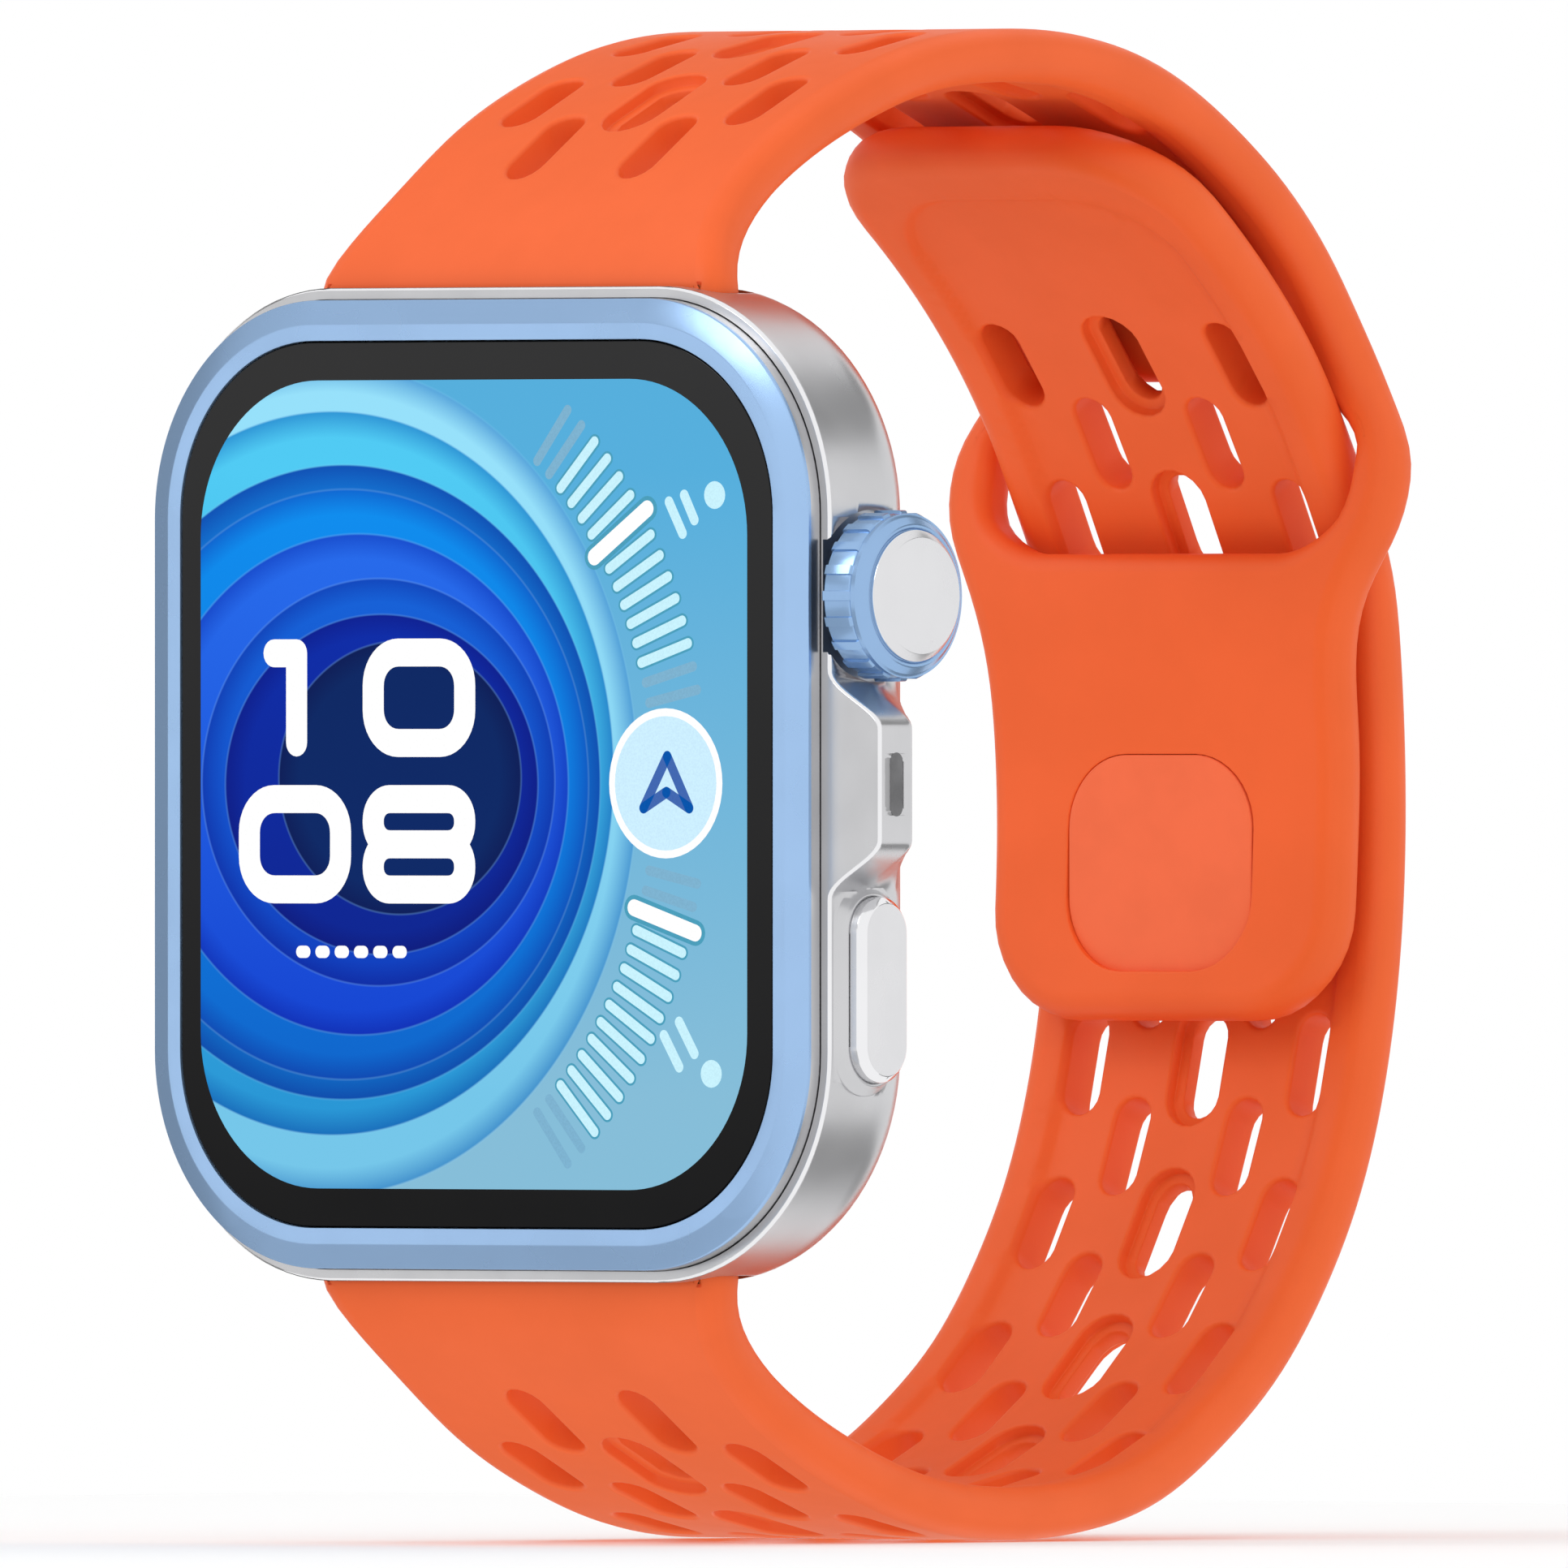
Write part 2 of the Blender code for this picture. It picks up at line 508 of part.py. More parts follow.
def make_crown():
    spot = (CROWN_Y, CROWN_Z)
    seat = CROWN_CAP_RADIUS + 0.08
    ring = side_plate("crown_ring", [toothed_circle(CROWN_RADIUS, CROWN_RADIUS - TOOTH_HEIGHT),
                                     circle(STEM_RADIUS + FIT)],
                      CROWN_INNER, CROWN_SHOULDER, spot, BLUE)
    shoulder = turned("crown_shoulder", [(seat, CROWN_SHOULDER - 0.3), (3.55, CROWN_SHOULDER - 0.3),
                                         (3.55, CROWN_SHOULDER + 0.03), (CROWN_RIM_RADIUS, CROWN_FACE),
                                         (seat, CROWN_FACE)], (0, *spot), None, steps=32)
    join(ring, shoulder)
    cap = turned("crown_cap", [(0, 22.22), (CROWN_CAP_RADIUS, 22.22),
                               (CROWN_CAP_RADIUS, 22.75), (CROWN_CAP_FLAT, CROWN_CAP_FACE),
                               (0, CROWN_CAP_FACE)], (0, *spot), SILVER, steps=32)
    stem = drum("crown_stem", STEM_RADIUS, 15.6, 21.95, spot, STEEL)
    wheel = drum("crown_wheel", 1.1, 16.1, 16.7, spot, BLACK, bore=STEM_RADIUS + 0.03)
    for piece in (ring, cap, stem, wheel):
        move_origin(piece, CROWN_INNER, *spot)
    drum("crown_tube", 1.15, 17.0, 19.25, spot, STEEL, bore=STEM_RADIUS + RUNNING)
    drum("crown_seal", 1.15, 19.3, 19.55, spot, RUBBER, bore=STEM_RADIUS + RUNNING)
    pusher = drum("crown_pusher", 1.0, 14.9, 15.4, spot, BLACK)
    move_origin(pusher, 15.15, *spot)
    block("crown_encoder", (15.9, -3.95, 7.4), (17.2, -3.5, 9.4), BLACK)
    block("crown_switch", (13.2, -6.1, 7.2), (14.4, -4.3, 9.6), BLACK, 0.1)


def make_side_button():
    spot = (BUTTON_Y, BUTTON_Z)
    cap = side_plate("button_cap", [pill(*BUTTON_CAP)], BUTTON_POCKET_FLOOR + 0.45, BUTTON_FACE,
                     spot, SILVER)
    chamfer = 0.3
    bm = bmesh.new()
    bm.from_mesh(cap.data)
    rim = [edge for edge in bm.edges
           if all(abs(vert.co.x - BUTTON_FACE * MM) < 1e-6 for vert in edge.verts)]
    bmesh.ops.bevel(bm, geom=rim, offset=chamfer * MM, segments=1, affect="EDGES")
    bm.to_mesh(cap.data)
    bm.free()
    stem = drum("button_stem", BUTTON_STEM_RADIUS, 17.0, BUTTON_POCKET_FLOOR + 0.35, spot, STEEL)
    retainer = drum("button_retainer", 0.8, 17.35, 17.65, spot, STEEL,
                    bore=BUTTON_STEM_RADIUS + 0.03)
    for piece in (cap, stem, retainer):
        move_origin(piece, BUTTON_FACE, *spot)
    drum("button_seal", 0.9, 18.5, 18.8, spot, RUBBER, bore=BUTTON_STEM_RADIUS + RUNNING)
    block("button_switch", (15.4, -6.1, -10.6), (16.4, -4.5, -7.7), BLACK, 0.1)


# Straps ----------------------------------------------------------------------------------------

class Route:
    """A natural cubic spline through route points (y, z, half width), by length along it."""

    def __init__(self, points, outward):
        self.values = np.array(points, float)
        legs = np.hypot(*np.diff(self.values[:, :2], axis=0).T)
        self.knots = np.concatenate([[0], np.cumsum(legs)])
        self.length = self.knots[-1]
        self.outward = outward
        count = len(points)
        system = np.eye(count)
        right = np.zeros((count, 3))
        slopes = np.diff(self.values, axis=0) / legs[:, None]
        for k in range(1, count - 1):
            system[k, k - 1:k + 2] = legs[k - 1], 2 * (legs[k - 1] + legs[k]), legs[k]
            right[k] = 6 * (slopes[k] - slopes[k - 1])
        self.bends = np.linalg.solve(system, right)

    def at(self, s):
        k = int(np.clip(np.searchsorted(self.knots, s) - 1, 0, len(self.knots) - 2))
        leg = self.knots[k + 1] - self.knots[k]
        after, before = s - self.knots[k], self.knots[k + 1] - s
        curve = self.bends[k] * before ** 3 + self.bends[k + 1] * after ** 3
        line = ((self.values[k] / leg - self.bends[k] * leg / 6) * before
                + (self.values[k + 1] / leg - self.bends[k + 1] * leg / 6) * after)
        return curve / (6 * leg) + line

    def point(self, x, s, depth):
        """The place x across, s along and depth outwards from the middle, in metres."""
        step = 0.01
        centre = self.at(s)
        ahead, behind = self.at(s + step), self.at(s - step)
        tangent = (ahead - behind)[:2]
        tangent /= np.hypot(*tangent)
        normal = self.outward * np.array((-tangent[1], tangent[0]))
        y, z = centre[:2] + normal * depth
        return Vector((x, y, z)) * MM

    def where(self, height, low, high):
        """The length at which the route passes a height, between two lengths."""
        spots = np.linspace(low, high, 400)
        heights = [self.at(s)[1] for s in spots]
        return float(spots[int(np.argmin(np.abs(np.array(heights) - height)))])


UPPER = Route(UPPER_ROUTE, 1)
LOWER = Route(LOWER_ROUTE, -1)


def strap_section(half_width, thickness, channel):
    """Round-edged strip with a shallow channel along its inner face: (x, depth) points."""
    edge = min(STRAP_EDGE, thickness / 2 - 0.05)
    flat = half_width - edge
    steps = 3
    right_side = []
    for middle, start in ((thickness / 2 - edge, 90), (edge - thickness / 2, 0)):
        for step in range(steps + 1):
            angle = math.radians(start - 90 * step / steps)
            right_side.append((flat + edge * math.cos(angle), middle + edge * math.sin(angle)))
    rim = min(CHANNEL_HALF, flat - 0.4)
    right_side += [(rim, -thickness / 2), (rim - 0.6, -thickness / 2 + channel)]
    left_side = [(-x, depth) for x, depth in reversed(right_side)]
    return right_side + left_side


def make_strap(name, route, corner, channel_end):
    """Loft the sections along the route; the free end has round corners and a round edge."""
    stations = list(np.linspace(0, route.length - corner, 44))
    corner_steps = 6
    stations += [route.length - corner * (1 - math.sin(math.radians(90 * step / corner_steps)))
                 for step in range(1, corner_steps + 1)]
    bm = bmesh.new()
    rings = []
    for s in stations:
        half_width = float(route.at(s)[2])
        to_end = route.length - s
        thickness = STRAP_THICKNESS
        if to_end < corner:
            half_width += math.sqrt(max(0.0, corner ** 2 - (corner - to_end) ** 2)) - corner
        if to_end < STRAP_THICKNESS / 2:
            thickness *= 0.55 + 0.45 * math.sqrt(to_end / (STRAP_THICKNESS / 2))
        depth = CHANNEL_DEPTH * ease((s - 4) / 3) * ease((channel_end - s) / 2)
        rings.append([bm.verts.new(route.point(x, s, t))
                      for x, t in strap_section(half_width, thickness, depth)])
    for ring, following in zip(rings, rings[1:]):
        for k in range(len(ring)):
            nxt = (k + 1) % len(ring)
            bm.faces.new((ring[k], ring[nxt], following[nxt], following[k]))
    bm.faces.new(rings[0])
    bm.faces.new(reversed(rings[-1]))
    return finish(name, mesh_from(bm, name), ORANGE)


def along(name, route, s, size, depths, look=None, edge=0.0):
    """A block laid on a strap: size across and along, between two depths."""
    bm = bmesh.new()
    bmesh.ops.create_cube(bm, size=1.0)
    low, high = depths
    bmesh.ops.scale(bm, vec=Vector((size[0], size[1], high - low)) * MM, verts=bm.verts[:])
    if edge:
        bmesh.ops.bevel(bm, geom=bm.edges[:], offset=edge * MM, segments=2, affect="EDGES")
    origin = route.point(0, s, (low + high) / 2)
    outward = (route.point(0, s, 1) - route.point(0, s, 0)).normalized()
    side = Vector((1, 0, 0))
    turn = Matrix((side, outward.cross(side), outward)).transposed().to_4x4()
    obj = finish(name, mesh_from(bm, name), look)
    obj.data.transform(turn)
    obj.location = origin
    return obj


def make_straps():
    upper = make_strap("strap_upper", UPPER, TONGUE_CORNER,
                       UPPER.where(WINDOW_TOP + 3.0, 50, UPPER.length))
    lower = make_strap("strap_lower", LOWER, TAIL_CORNER, LOWER.length - 4)
    window_height = WINDOW_TOP - WINDOW_BOTTOM
    cut(upper, plate("window", [rounded_rectangle(2 * WINDOW_HALF, window_height, WINDOW_CORNER)],
                     34.0, 44.0, centre=(0, (WINDOW_TOP + WINDOW_BOTTOM) / 2)))
    base_width, base_height, base_corner = PIN_BASE
    spot = (0, PIN_Z)
    cut(upper,
        plate("base_pocket", [rounded_rectangle(base_width + 0.2, base_height + 0.2,
                                                base_corner + 0.1)], 36.0, 38.65, centre=spot),
        plate("stud_hole", [pill(2.2, 4.8)], 38.0, 41.0, centre=spot))
    cut(lower,
        plate("pin_slot", [pill(2.4, 5.8)], 40.0, 45.0, centre=spot),
        plate("head_seat", [pill(3.3, 7.0)], 42.85, 45.0, centre=spot))
    pin = plate("closure_pin", [rounded_rectangle(*PIN_BASE)], 37.75, 38.5, ORANGE, spot)
    join(pin, plate("stud_shape", [pill(1.9, 4.5)], 38.3, 43.2, centre=spot),
         plate("head_shape", [pill(2.9, 5.8)], 43.0, 43.5, centre=spot))
    for label, route, strap, end in (("upper", UPPER, upper, 1), ("lower", LOWER, lower, -1)):
        across, length, tall = RELEASE_SIZE
        inner = -STRAP_THICKNESS / 2
        cut(strap, along(f"{label}_release_pocket", route, RELEASE_AT,
                         (across + 0.3, length + 0.3), (inner - 1, inner + 1.8)))
        along(f"{label}_release_button", route, RELEASE_AT, (across, length),
              (inner + 0.05, inner + 0.05 + tall), STEEL, 0.15)
        along(f"{label}_release_spring", route, RELEASE_AT, (2.0, 1.6),
              (inner + 1.2, inner + 1.7), STEEL)
        low, high = sorted((end * 19.9, end * 20.6))
        block(f"{label}_strap_clip", (-9.0, -6.5, low), (9.0, -4.8, high), STEEL, 0.1)


make_case()
make_front()
make_inside()
make_rear()
make_crown()
make_side_button()
make_straps()
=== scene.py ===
"""Looks of the running watch: finer meshes, finishes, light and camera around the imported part.

X points to the crown side, Y from the screen to the wrist, Z to 12 o'clock.  Shapes are given in
millimetres and turned into metres when a mesh is made.
"""
import math

import bmesh
import bpy
import numpy as np
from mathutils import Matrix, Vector
from mathutils.geometry import delaunay_2d_cdt


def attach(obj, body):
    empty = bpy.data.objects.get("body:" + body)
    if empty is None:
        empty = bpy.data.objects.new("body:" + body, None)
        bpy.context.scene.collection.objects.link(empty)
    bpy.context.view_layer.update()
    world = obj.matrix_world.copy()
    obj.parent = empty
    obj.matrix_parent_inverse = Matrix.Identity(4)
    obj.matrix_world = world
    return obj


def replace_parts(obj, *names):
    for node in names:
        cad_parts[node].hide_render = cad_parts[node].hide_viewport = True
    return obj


MM = 0.001

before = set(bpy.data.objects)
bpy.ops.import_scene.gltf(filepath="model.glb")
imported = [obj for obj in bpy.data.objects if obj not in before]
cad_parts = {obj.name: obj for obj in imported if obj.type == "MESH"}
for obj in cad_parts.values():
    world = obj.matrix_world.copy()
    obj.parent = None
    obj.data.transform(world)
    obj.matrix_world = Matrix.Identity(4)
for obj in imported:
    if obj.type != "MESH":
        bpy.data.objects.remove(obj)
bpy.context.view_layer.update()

# Case, as in the CAD model; an outline is (width, height, corner radius)
CASE_WIDTH, CASE_HEIGHT, CASE_CORNER = 40.0, 44.5, 10.3
FRONT, CASE_FRONT, CASE_BACK = -9.3, -8.13, -1.46
BACK_ROUND, FRONT_EDGE = 3.0, 0.11
SIDE = CASE_WIDTH / 2
END = CASE_HEIGHT / 2
SEAT_FLOOR, CAVITY_LEDGE, CAVITY_FLOOR, COVER_SEAT = -7.5, -6.3, -3.4, -2.95
CAVITY, LOWER_CAVITY = (36.4, 36.8, 7.0), (36.4, 33.2, 6.0)
BACK_OPENING, COVER_RECESS = (30.4, 34.0, 6.0), (33.6, 38.1, 7.1)
STRAP_POCKET, STRAP_POCKET_DEPTH, STRAP_POCKET_Y = (24.4, 3.35, 0.8), 2.65, -5.43
SPEAKER_SLOT, SPEAKER_SPOT, SPEAKER_SLOT_END = (1.0, 6.0), (-5.0, -8.5), -17.2
SEAT_GAP, OVERRUN = 0.05, 1.0            # round the bezel, and past a face that is cut through

# Guard beside the crown
GUARD_REACH = 2.96
GUARD_TOP, GUARD_BOTTOM, GUARD_SLOPE = 5.1, -5.1, 2.6
GUARD_FACE_BACK, GUARD_BACK = -5.9, -3.4
MIC_Y, MIC_LENGTH, MIC_WIDTH, MIC_LIP = -7.0, 2.85, 0.84, 0.05

# Bezel and display
BEZEL_WIDTH, BEZEL_HEIGHT, BEZEL_CORNER, BEZEL_BACK = 38.9, 43.4, 9.75, -7.98
GLASS_WIDTH, GLASS_HEIGHT, GLASS_CORNER = 35.1, 39.6, 7.85
GLASS_FRONT, GLASS_BACK = FRONT + 0.05, -8.3
SCREEN_CENTRE_X, SCREEN_WIDTH, SCREEN_HEIGHT, SCREEN_CORNER = -0.15, 32.5, 36.2, 7.0
SCREEN_Y, MARK_Y, MARK_THICK = GLASS_FRONT - 0.012, GLASS_FRONT - 0.03, 0.008
UNDER_MARK_Y, OVER_MARK_Y = MARK_Y + MARK_THICK, MARK_Y - 0.006

# Crown and button
CROWN_Y, CROWN_Z, CROWN_RADIUS = -5.2, 8.4, 3.82
CROWN_TEETH, TOOTH_SHARE, TOOTH_HEIGHT = 20, 0.38, 0.13
CROWN_INNER, CROWN_SHOULDER, CROWN_FACE, CROWN_CAP_FACE = 20.25, 22.1, 22.45, 22.87
CROWN_POCKET_RADIUS, CROWN_POCKET_FLOOR = 3.86, 19.6
CROWN_RIM_RADIUS, CROWN_CAP_RADIUS, CROWN_CAP_FLAT, CROWN_CAP_DROP = 3.12, 2.94, 2.6, 0.3
STEM_HOLE_RADIUS, STEM_HOLE_END = 1.25, 17.0
BUTTON_Y, BUTTON_Z, BUTTON_FACE, BUTTON_POCKET_FLOOR = -5.68, -9.16, 21.25, 19.1
BUTTON_CAP, BUTTON_GAP = (3.3, 8.3), 0.03
BOSS, BOSS_FOOT, BOSS_HEIGHT = (3.8, 8.9), 0.3, 0.48

# Straps: (y, z, half width) along the middle of the thickness, from the case to the free end
ROUTE_START = [
    (-5.65, 20.9, 11.9), (-5.6, 21.7, 12.0), (-4.85, 23.4, 11.4), (-2.86, 25.6, 10.5),
    (0.96, 28.4, 10.25), (5.7, 30.65, 10.25), (10.8, 32.2, 10.25), (16.2, 32.75, 10.25)]
UPPER_ROUTE = ROUTE_START + [
    (21.7, 32.45, 10.25), (26.7, 31.1, 10.25), (31.0, 28.8, 10.25), (34.6, 26.1, 10.25),
    (37.3, 23.2, 10.3), (39.1, 20.4, 10.5), (39.85, 17.9, 11.4), (39.6, 15.6, 12.8),
    (39.05, 13.4, 13.26), (38.55, 11.2, 12.8), (38.3, 8.8, 11.55), (38.45, 5.9, 10.65),
    (38.85, 2.2, 10.45), (38.9, -3.0, 10.35), (38.6, -7.5, 10.3), (38.2, -10.7, 10.2)]
LOWER_ROUTE = [(y, -z, half) for y, z, half in ROUTE_START] + [
    (21.7, -32.4, 10.25), (26.2, -31.2, 10.25), (30.1, -29.0, 10.25), (33.8, -26.1, 10.2),
    (36.8, -22.5, 10.2), (39.2, -18.4, 10.2), (40.8, -14.0, 10.2), (41.85, -9.0, 10.2),
    (42.35, -3.5, 10.2), (42.35, 1.5, 10.2), (42.05, 6.0, 10.2), (41.4, 9.7, 10.2),
    (39.9, 12.9, 10.2), (38.2, 16.0, 10.2), (36.2, 19.0, 10.25), (33.6, 22.0, 10.25),
    (30.7, 24.7, 10.25), (28.0, 26.8, 10.25), (24.4, 29.1, 10.25)]
STRAP_HALF, STRAP_EDGE = 1.2, 1.1        # half thickness and the radius of its long edges
TAIL_CORNER, TONGUE_CORNER = 6.0, 5.0
CHANNEL_HALF, CHANNEL_RAMP, CHANNEL_DEPTH, CHANNEL_CORNER = 8.1, 0.7, 0.4, 5.0
CHANNEL_START, UPPER_CHANNEL_GAP, LOWER_CHANNEL_GAP = 3.5, 3.0, 3.2      # from its strap's ends
SLOT_SIZE, SLOT_COLUMN = (2.0, 4.8), 3.33
ROW_NUMBERS, ROW_PLACES = (0, 13, 18, 21), (9.07, 61.0, 81.8, 95.0)
UPPER_ROWS, LOWER_ROWS, PIN_ROW = 8, 22, 15
WINDOW = (55.95, 63.98)                  # its ends along the upper strap
WINDOW_HALF, WINDOW_RAIL, WINDOW_CORNER = 10.8, 2.25, 3.2
PIN_Z, PIN_BASE, PIN_SLOT_AT, PIN_BASE_AT = -3.6, (10.9, 9.9, 3.4), 70.36, 78.0
PIN_SLOT, PIN_STUD, PIN_HEAD = (2.4, 5.8), (1.9, 4.5), (2.9, 5.8)
PIN_BASE_FRONT, PIN_BASE_BACK, PIN_HEAD_FRONT, PIN_HEAD_BACK = 37.68, 38.45, 43.0, 43.5
PIN_RECESS_GAP, PIN_LAP = 0.07, 0.15     # round the base, and of the stud into it


# Finishes --------------------------------------------------------------------------------------

def linear(red, green, blue):
    """An sRGB colour of 0-255 as linear RGBA."""
    def one(value):
        value /= 255
        return value / 12.92 if value <= 0.04045 else ((value + 0.055) / 1.055) ** 2.4
    return (one(red), one(green), one(blue), 1.0)


class Finish:
    """A Principled material with procedural grain, built node by node."""

    def __init__(self, name, color, roughness, metallic=0.0, coat=0.0):
        self.material = bpy.data.materials.new(name)
        self.material.use_nodes = True
        self.tree = self.material.node_tree
        self.shader = self.tree.nodes["Principled BSDF"]
        self.color, self.roughness = linear(*color), roughness
        self.put("Base Color", self.color)
        self.put("Roughness", roughness)
        self.put("Metallic", metallic)
        self.put("Coat Weight", coat)
        self.place = self.node("ShaderNodeTexCoord").outputs["Object"]

    def put(self, socket, value):
        self.shader.inputs[socket].default_value = value

    def node(self, kind, **settings):
        made = self.tree.nodes.new(kind)
        for name, value in settings.items():
            setattr(made, name, value)
        return made

    def link(self, source, target):
        self.tree.links.new(source, target)

    def upward(self):
        """The height of a point, in metres."""
        split = self.node("ShaderNodeSeparateXYZ")
        self.link(self.place, split.inputs[0])
        return split.outputs["Z"]

    def noise(self, size, detail, stretch=(1, 1, 1)):
        """Noise whose features are about size millimetres, drawn out along an axis by stretch."""
        mapping = self.node("ShaderNodeMapping")
        mapping.inputs["Scale"].default_value = stretch
        noise = self.node("ShaderNodeTexNoise")
        noise.inputs["Scale"].default_value = 1 / (size * MM)
        noise.inputs["Detail"].default_value = detail
        self.link(self.place, mapping.inputs["Vector"])
        self.link(mapping.outputs["Vector"], noise.inputs["Vector"])
        return noise.outputs["Fac"]

    def between(self, factor, low, high):
        """Map a 0-1 factor onto low to high."""
        remap = self.node("ShaderNodeMapRange", interpolation_type="SMOOTHSTEP")
        for index, value in ((1, 0.3), (2, 0.7), (3, low), (4, high)):
            remap.inputs[index].default_value = value
        self.link(factor, remap.inputs[0])
        return remap.outputs[0]

    def ramp(self, value, low, high, start=0.0, end=1.0):
        """Start to end as a value goes from low to high."""
        remap = self.node("ShaderNodeMapRange")
        for index, bound in enumerate((low, high, start, end), 1):
            remap.inputs[index].default_value = bound
        self.link(value, remap.inputs[0])
        return remap.outputs[0]

    def mix(self, factor, first, second, how="MIX"):
        """Colour going from first to second, each a socket or a colour, by a factor."""
        blend = self.node("ShaderNodeMix", data_type="RGBA", blend_type=how)
        self.link(factor, blend.inputs[0])
        for socket, value in ((blend.inputs[6], first), (blend.inputs[7], second)):
            if isinstance(value, bpy.types.NodeSocket):
                self.link(value, socket)
            else:
                socket.default_value = value
        return blend.outputs[2]

    def tinted(self, factor, tint, socket):
        """Feed a socket the finish's colour, going to a tint of it along a factor."""
        shifted = [channel * tint for channel in self.color[:3]] + [1.0]
        self.link(self.mix(self.between(factor, 0.0, 1.0), self.color, shifted),
                  self.shader.inputs[socket])

    def vary(self, factor, tint, spread):
        """Shift the colour by a tint and the roughness by a spread along the same factor."""
        self.tinted(factor, tint, "Base Color")
        self.link(self.between(factor, self.roughness - spread, self.roughness + spread),
                  self.shader.inputs["Roughness"])

    def relief(self, factor, height):
        """Raise the surface by height millimetres along a factor."""
        bump = self.node("ShaderNodeBump")
        bump.inputs["Distance"].default_value = height * MM
        bump.inputs["Strength"].default_value = 0.5
        self.link(factor, bump.inputs["Height"])
        self.link(bump.outputs["Normal"], self.shader.inputs["Normal"])


def grained(name, color, roughness, metallic=0.0, coat=0.0, grain=0.12, height=0.01, tint=0.9,
            spread=0.05, patch=4.0, stretch=(1, 1, 1)):
    """A finish with broad, faint patches and a fine grain on top."""
    made = Finish(name, color, roughness, metallic, coat)
    made.vary(made.noise(patch, 4.0), tint, spread)
    made.relief(made.noise(grain, 2.0, stretch), height)
    return made


def glowing(name, color):
    """A lit part of the display, with a faint unevenness as fine as its dots."""
    made = Finish(name, color, 0.3)
    made.tinted(made.noise(0.1, 1.0), 0.93, "Emission Color")
    made.put("Base Color", (0.01, 0.01, 0.01, 1.0))
    made.put("Emission Strength", 1.0)
    return made


# Nested discs of the display picture, largest first: centre x, z, half width, half height in mm,
# upper and lower colour
SWIRL_GROUND = ((84, 174, 220), (133, 189, 216))
SWIRL_DISCS = [
    (-8.8, 0.2, 18.4, 18.6, (150, 224, 250), (116, 198, 233)),
    (-8.6, 0.5, 16.8, 16.2, (78, 202, 243), (36, 150, 213)),
    (-7.9, 0.1, 15.3, 14.2, (6, 110, 206), (2, 104, 196)),
    (-7.7, 0.0, 14.4, 13.2, (0, 142, 240), (0, 98, 202)),
    (-7.0, 0.0, 12.5, 11.2, (36, 110, 238), (4, 58, 206)),
    (-5.8, 0.1, 10.5, 9.1, (14, 104, 222), (0, 42, 180)),
    (-5.6, 0.0, 9.3, 7.6, (0, 44, 176), (0, 28, 132)),
    (-4.5, 0.3, 7.2, 6.1, (0, 35, 96), (0, 38, 104))]


def swirl_finish():
    """Blue ribbons round an eye: nested discs, each darker just inside its edge."""
    made = Finish("display_swirl", (10, 60, 160), 0.15)
    made.put("Specular IOR Level", 0.0)
    made.put("Base Color", (0.005, 0.005, 0.006, 1.0))
    made.put("Emission Strength", 1.0)
    height = made.ramp(made.upward(), -14 * MM, 14 * MM)
    picture = made.mix(height, linear(*SWIRL_GROUND[1]), linear(*SWIRL_GROUND[0]))
    shadow_width, shadow = 1.2, (0.3, 0.5, 0.74, 1.0)
    line_width, line_color, line_share = 0.1, (0.3, 0.7, 1.0, 1.0), 0.2
    edge_blur = 0.05
    for x, z, radius, rise, upper, lower in SWIRL_DISCS:
        squeeze = made.node("ShaderNodeVectorMath", operation="MULTIPLY_ADD")
        squeeze.inputs[1].default_value = (1, 0, radius / rise)
        squeeze.inputs[2].default_value = (-x * MM, 0, -z * MM * radius / rise)
        made.link(made.place, squeeze.inputs[0])
        reach = made.node("ShaderNodeVectorMath", operation="LENGTH")
        made.link(squeeze.outputs[0], reach.inputs[0])
        distance = reach.outputs["Value"]
        color = made.mix(height, linear(*lower), linear(*upper))
        shade = made.ramp(distance, (radius - shadow_width) * MM, radius * MM)
        dark = made.mix(shade, color, shadow, "MULTIPLY")
        line = made.ramp(distance, (radius + line_width) * MM, radius * MM, 0.0, line_share)
        lit = made.mix(line, picture, line_color)
        within = made.ramp(distance, (radius + edge_blur) * MM, (radius - edge_blur) * MM)
        picture = made.mix(within, lit, dark)
    made.link(picture, made.shader.inputs["Emission Color"])
    return made


SATIN = grained("satin_silver", (208, 208, 210), 0.30, 1.0, grain=0.05, height=0.002, tint=0.96,
                spread=0.03)
POLISHED = grained("polished_silver", (240, 240, 242), 0.10, 1.0, grain=0.08, height=0.0006,
                   tint=0.98, spread=0.02)
BEZEL_BLUE = grained("bezel_blue", (160, 194, 234), 0.26, 0.75, grain=0.06, height=0.001,
                     tint=0.97, spread=0.03)
CROWN_BLUE = grained("crown_blue", (150, 184, 224), 0.24, 0.85, grain=0.06, height=0.001,
                     tint=0.96, spread=0.04)
CONTROL = grained("satin_controls", (226, 226, 228), 0.28, 1.0, grain=0.05, height=0.002,
                  tint=0.96, spread=0.03)
GLASS = grained("black_glass", (16, 16, 17), 0.08, grain=3.0, height=0.0004,
                tint=0.8, spread=0.02, patch=8.0)
# Painted reflection: the glass reflects more strongly higher up and more softly lower down,
# standing in for how the studio light falls on it.
GLASS.link(GLASS.ramp(GLASS.upward(), -19 * MM, 19 * MM, 0.08, 0.32),
           GLASS.shader.inputs["Specular IOR Level"])       # a softer reflection lower down
SILICONE = grained("orange_silicone", (242, 102, 46), 0.5, grain=0.09, height=0.004, tint=0.95,
                   spread=0.05, patch=6.0)
PIN_SILICONE = grained("pin_silicone", (245, 112, 68), 0.5, grain=0.09, height=0.004, tint=0.95,
                       spread=0.05, patch=3.0)
for soft in (SILICONE, PIN_SILICONE):
    soft.put("Specular IOR Level", 0.22)
CERAMIC = grained("rear_ceramic", (24, 24, 26), 0.18, 0.0, 0.3, grain=0.2, height=0.001,
                  tint=0.7, spread=0.05)
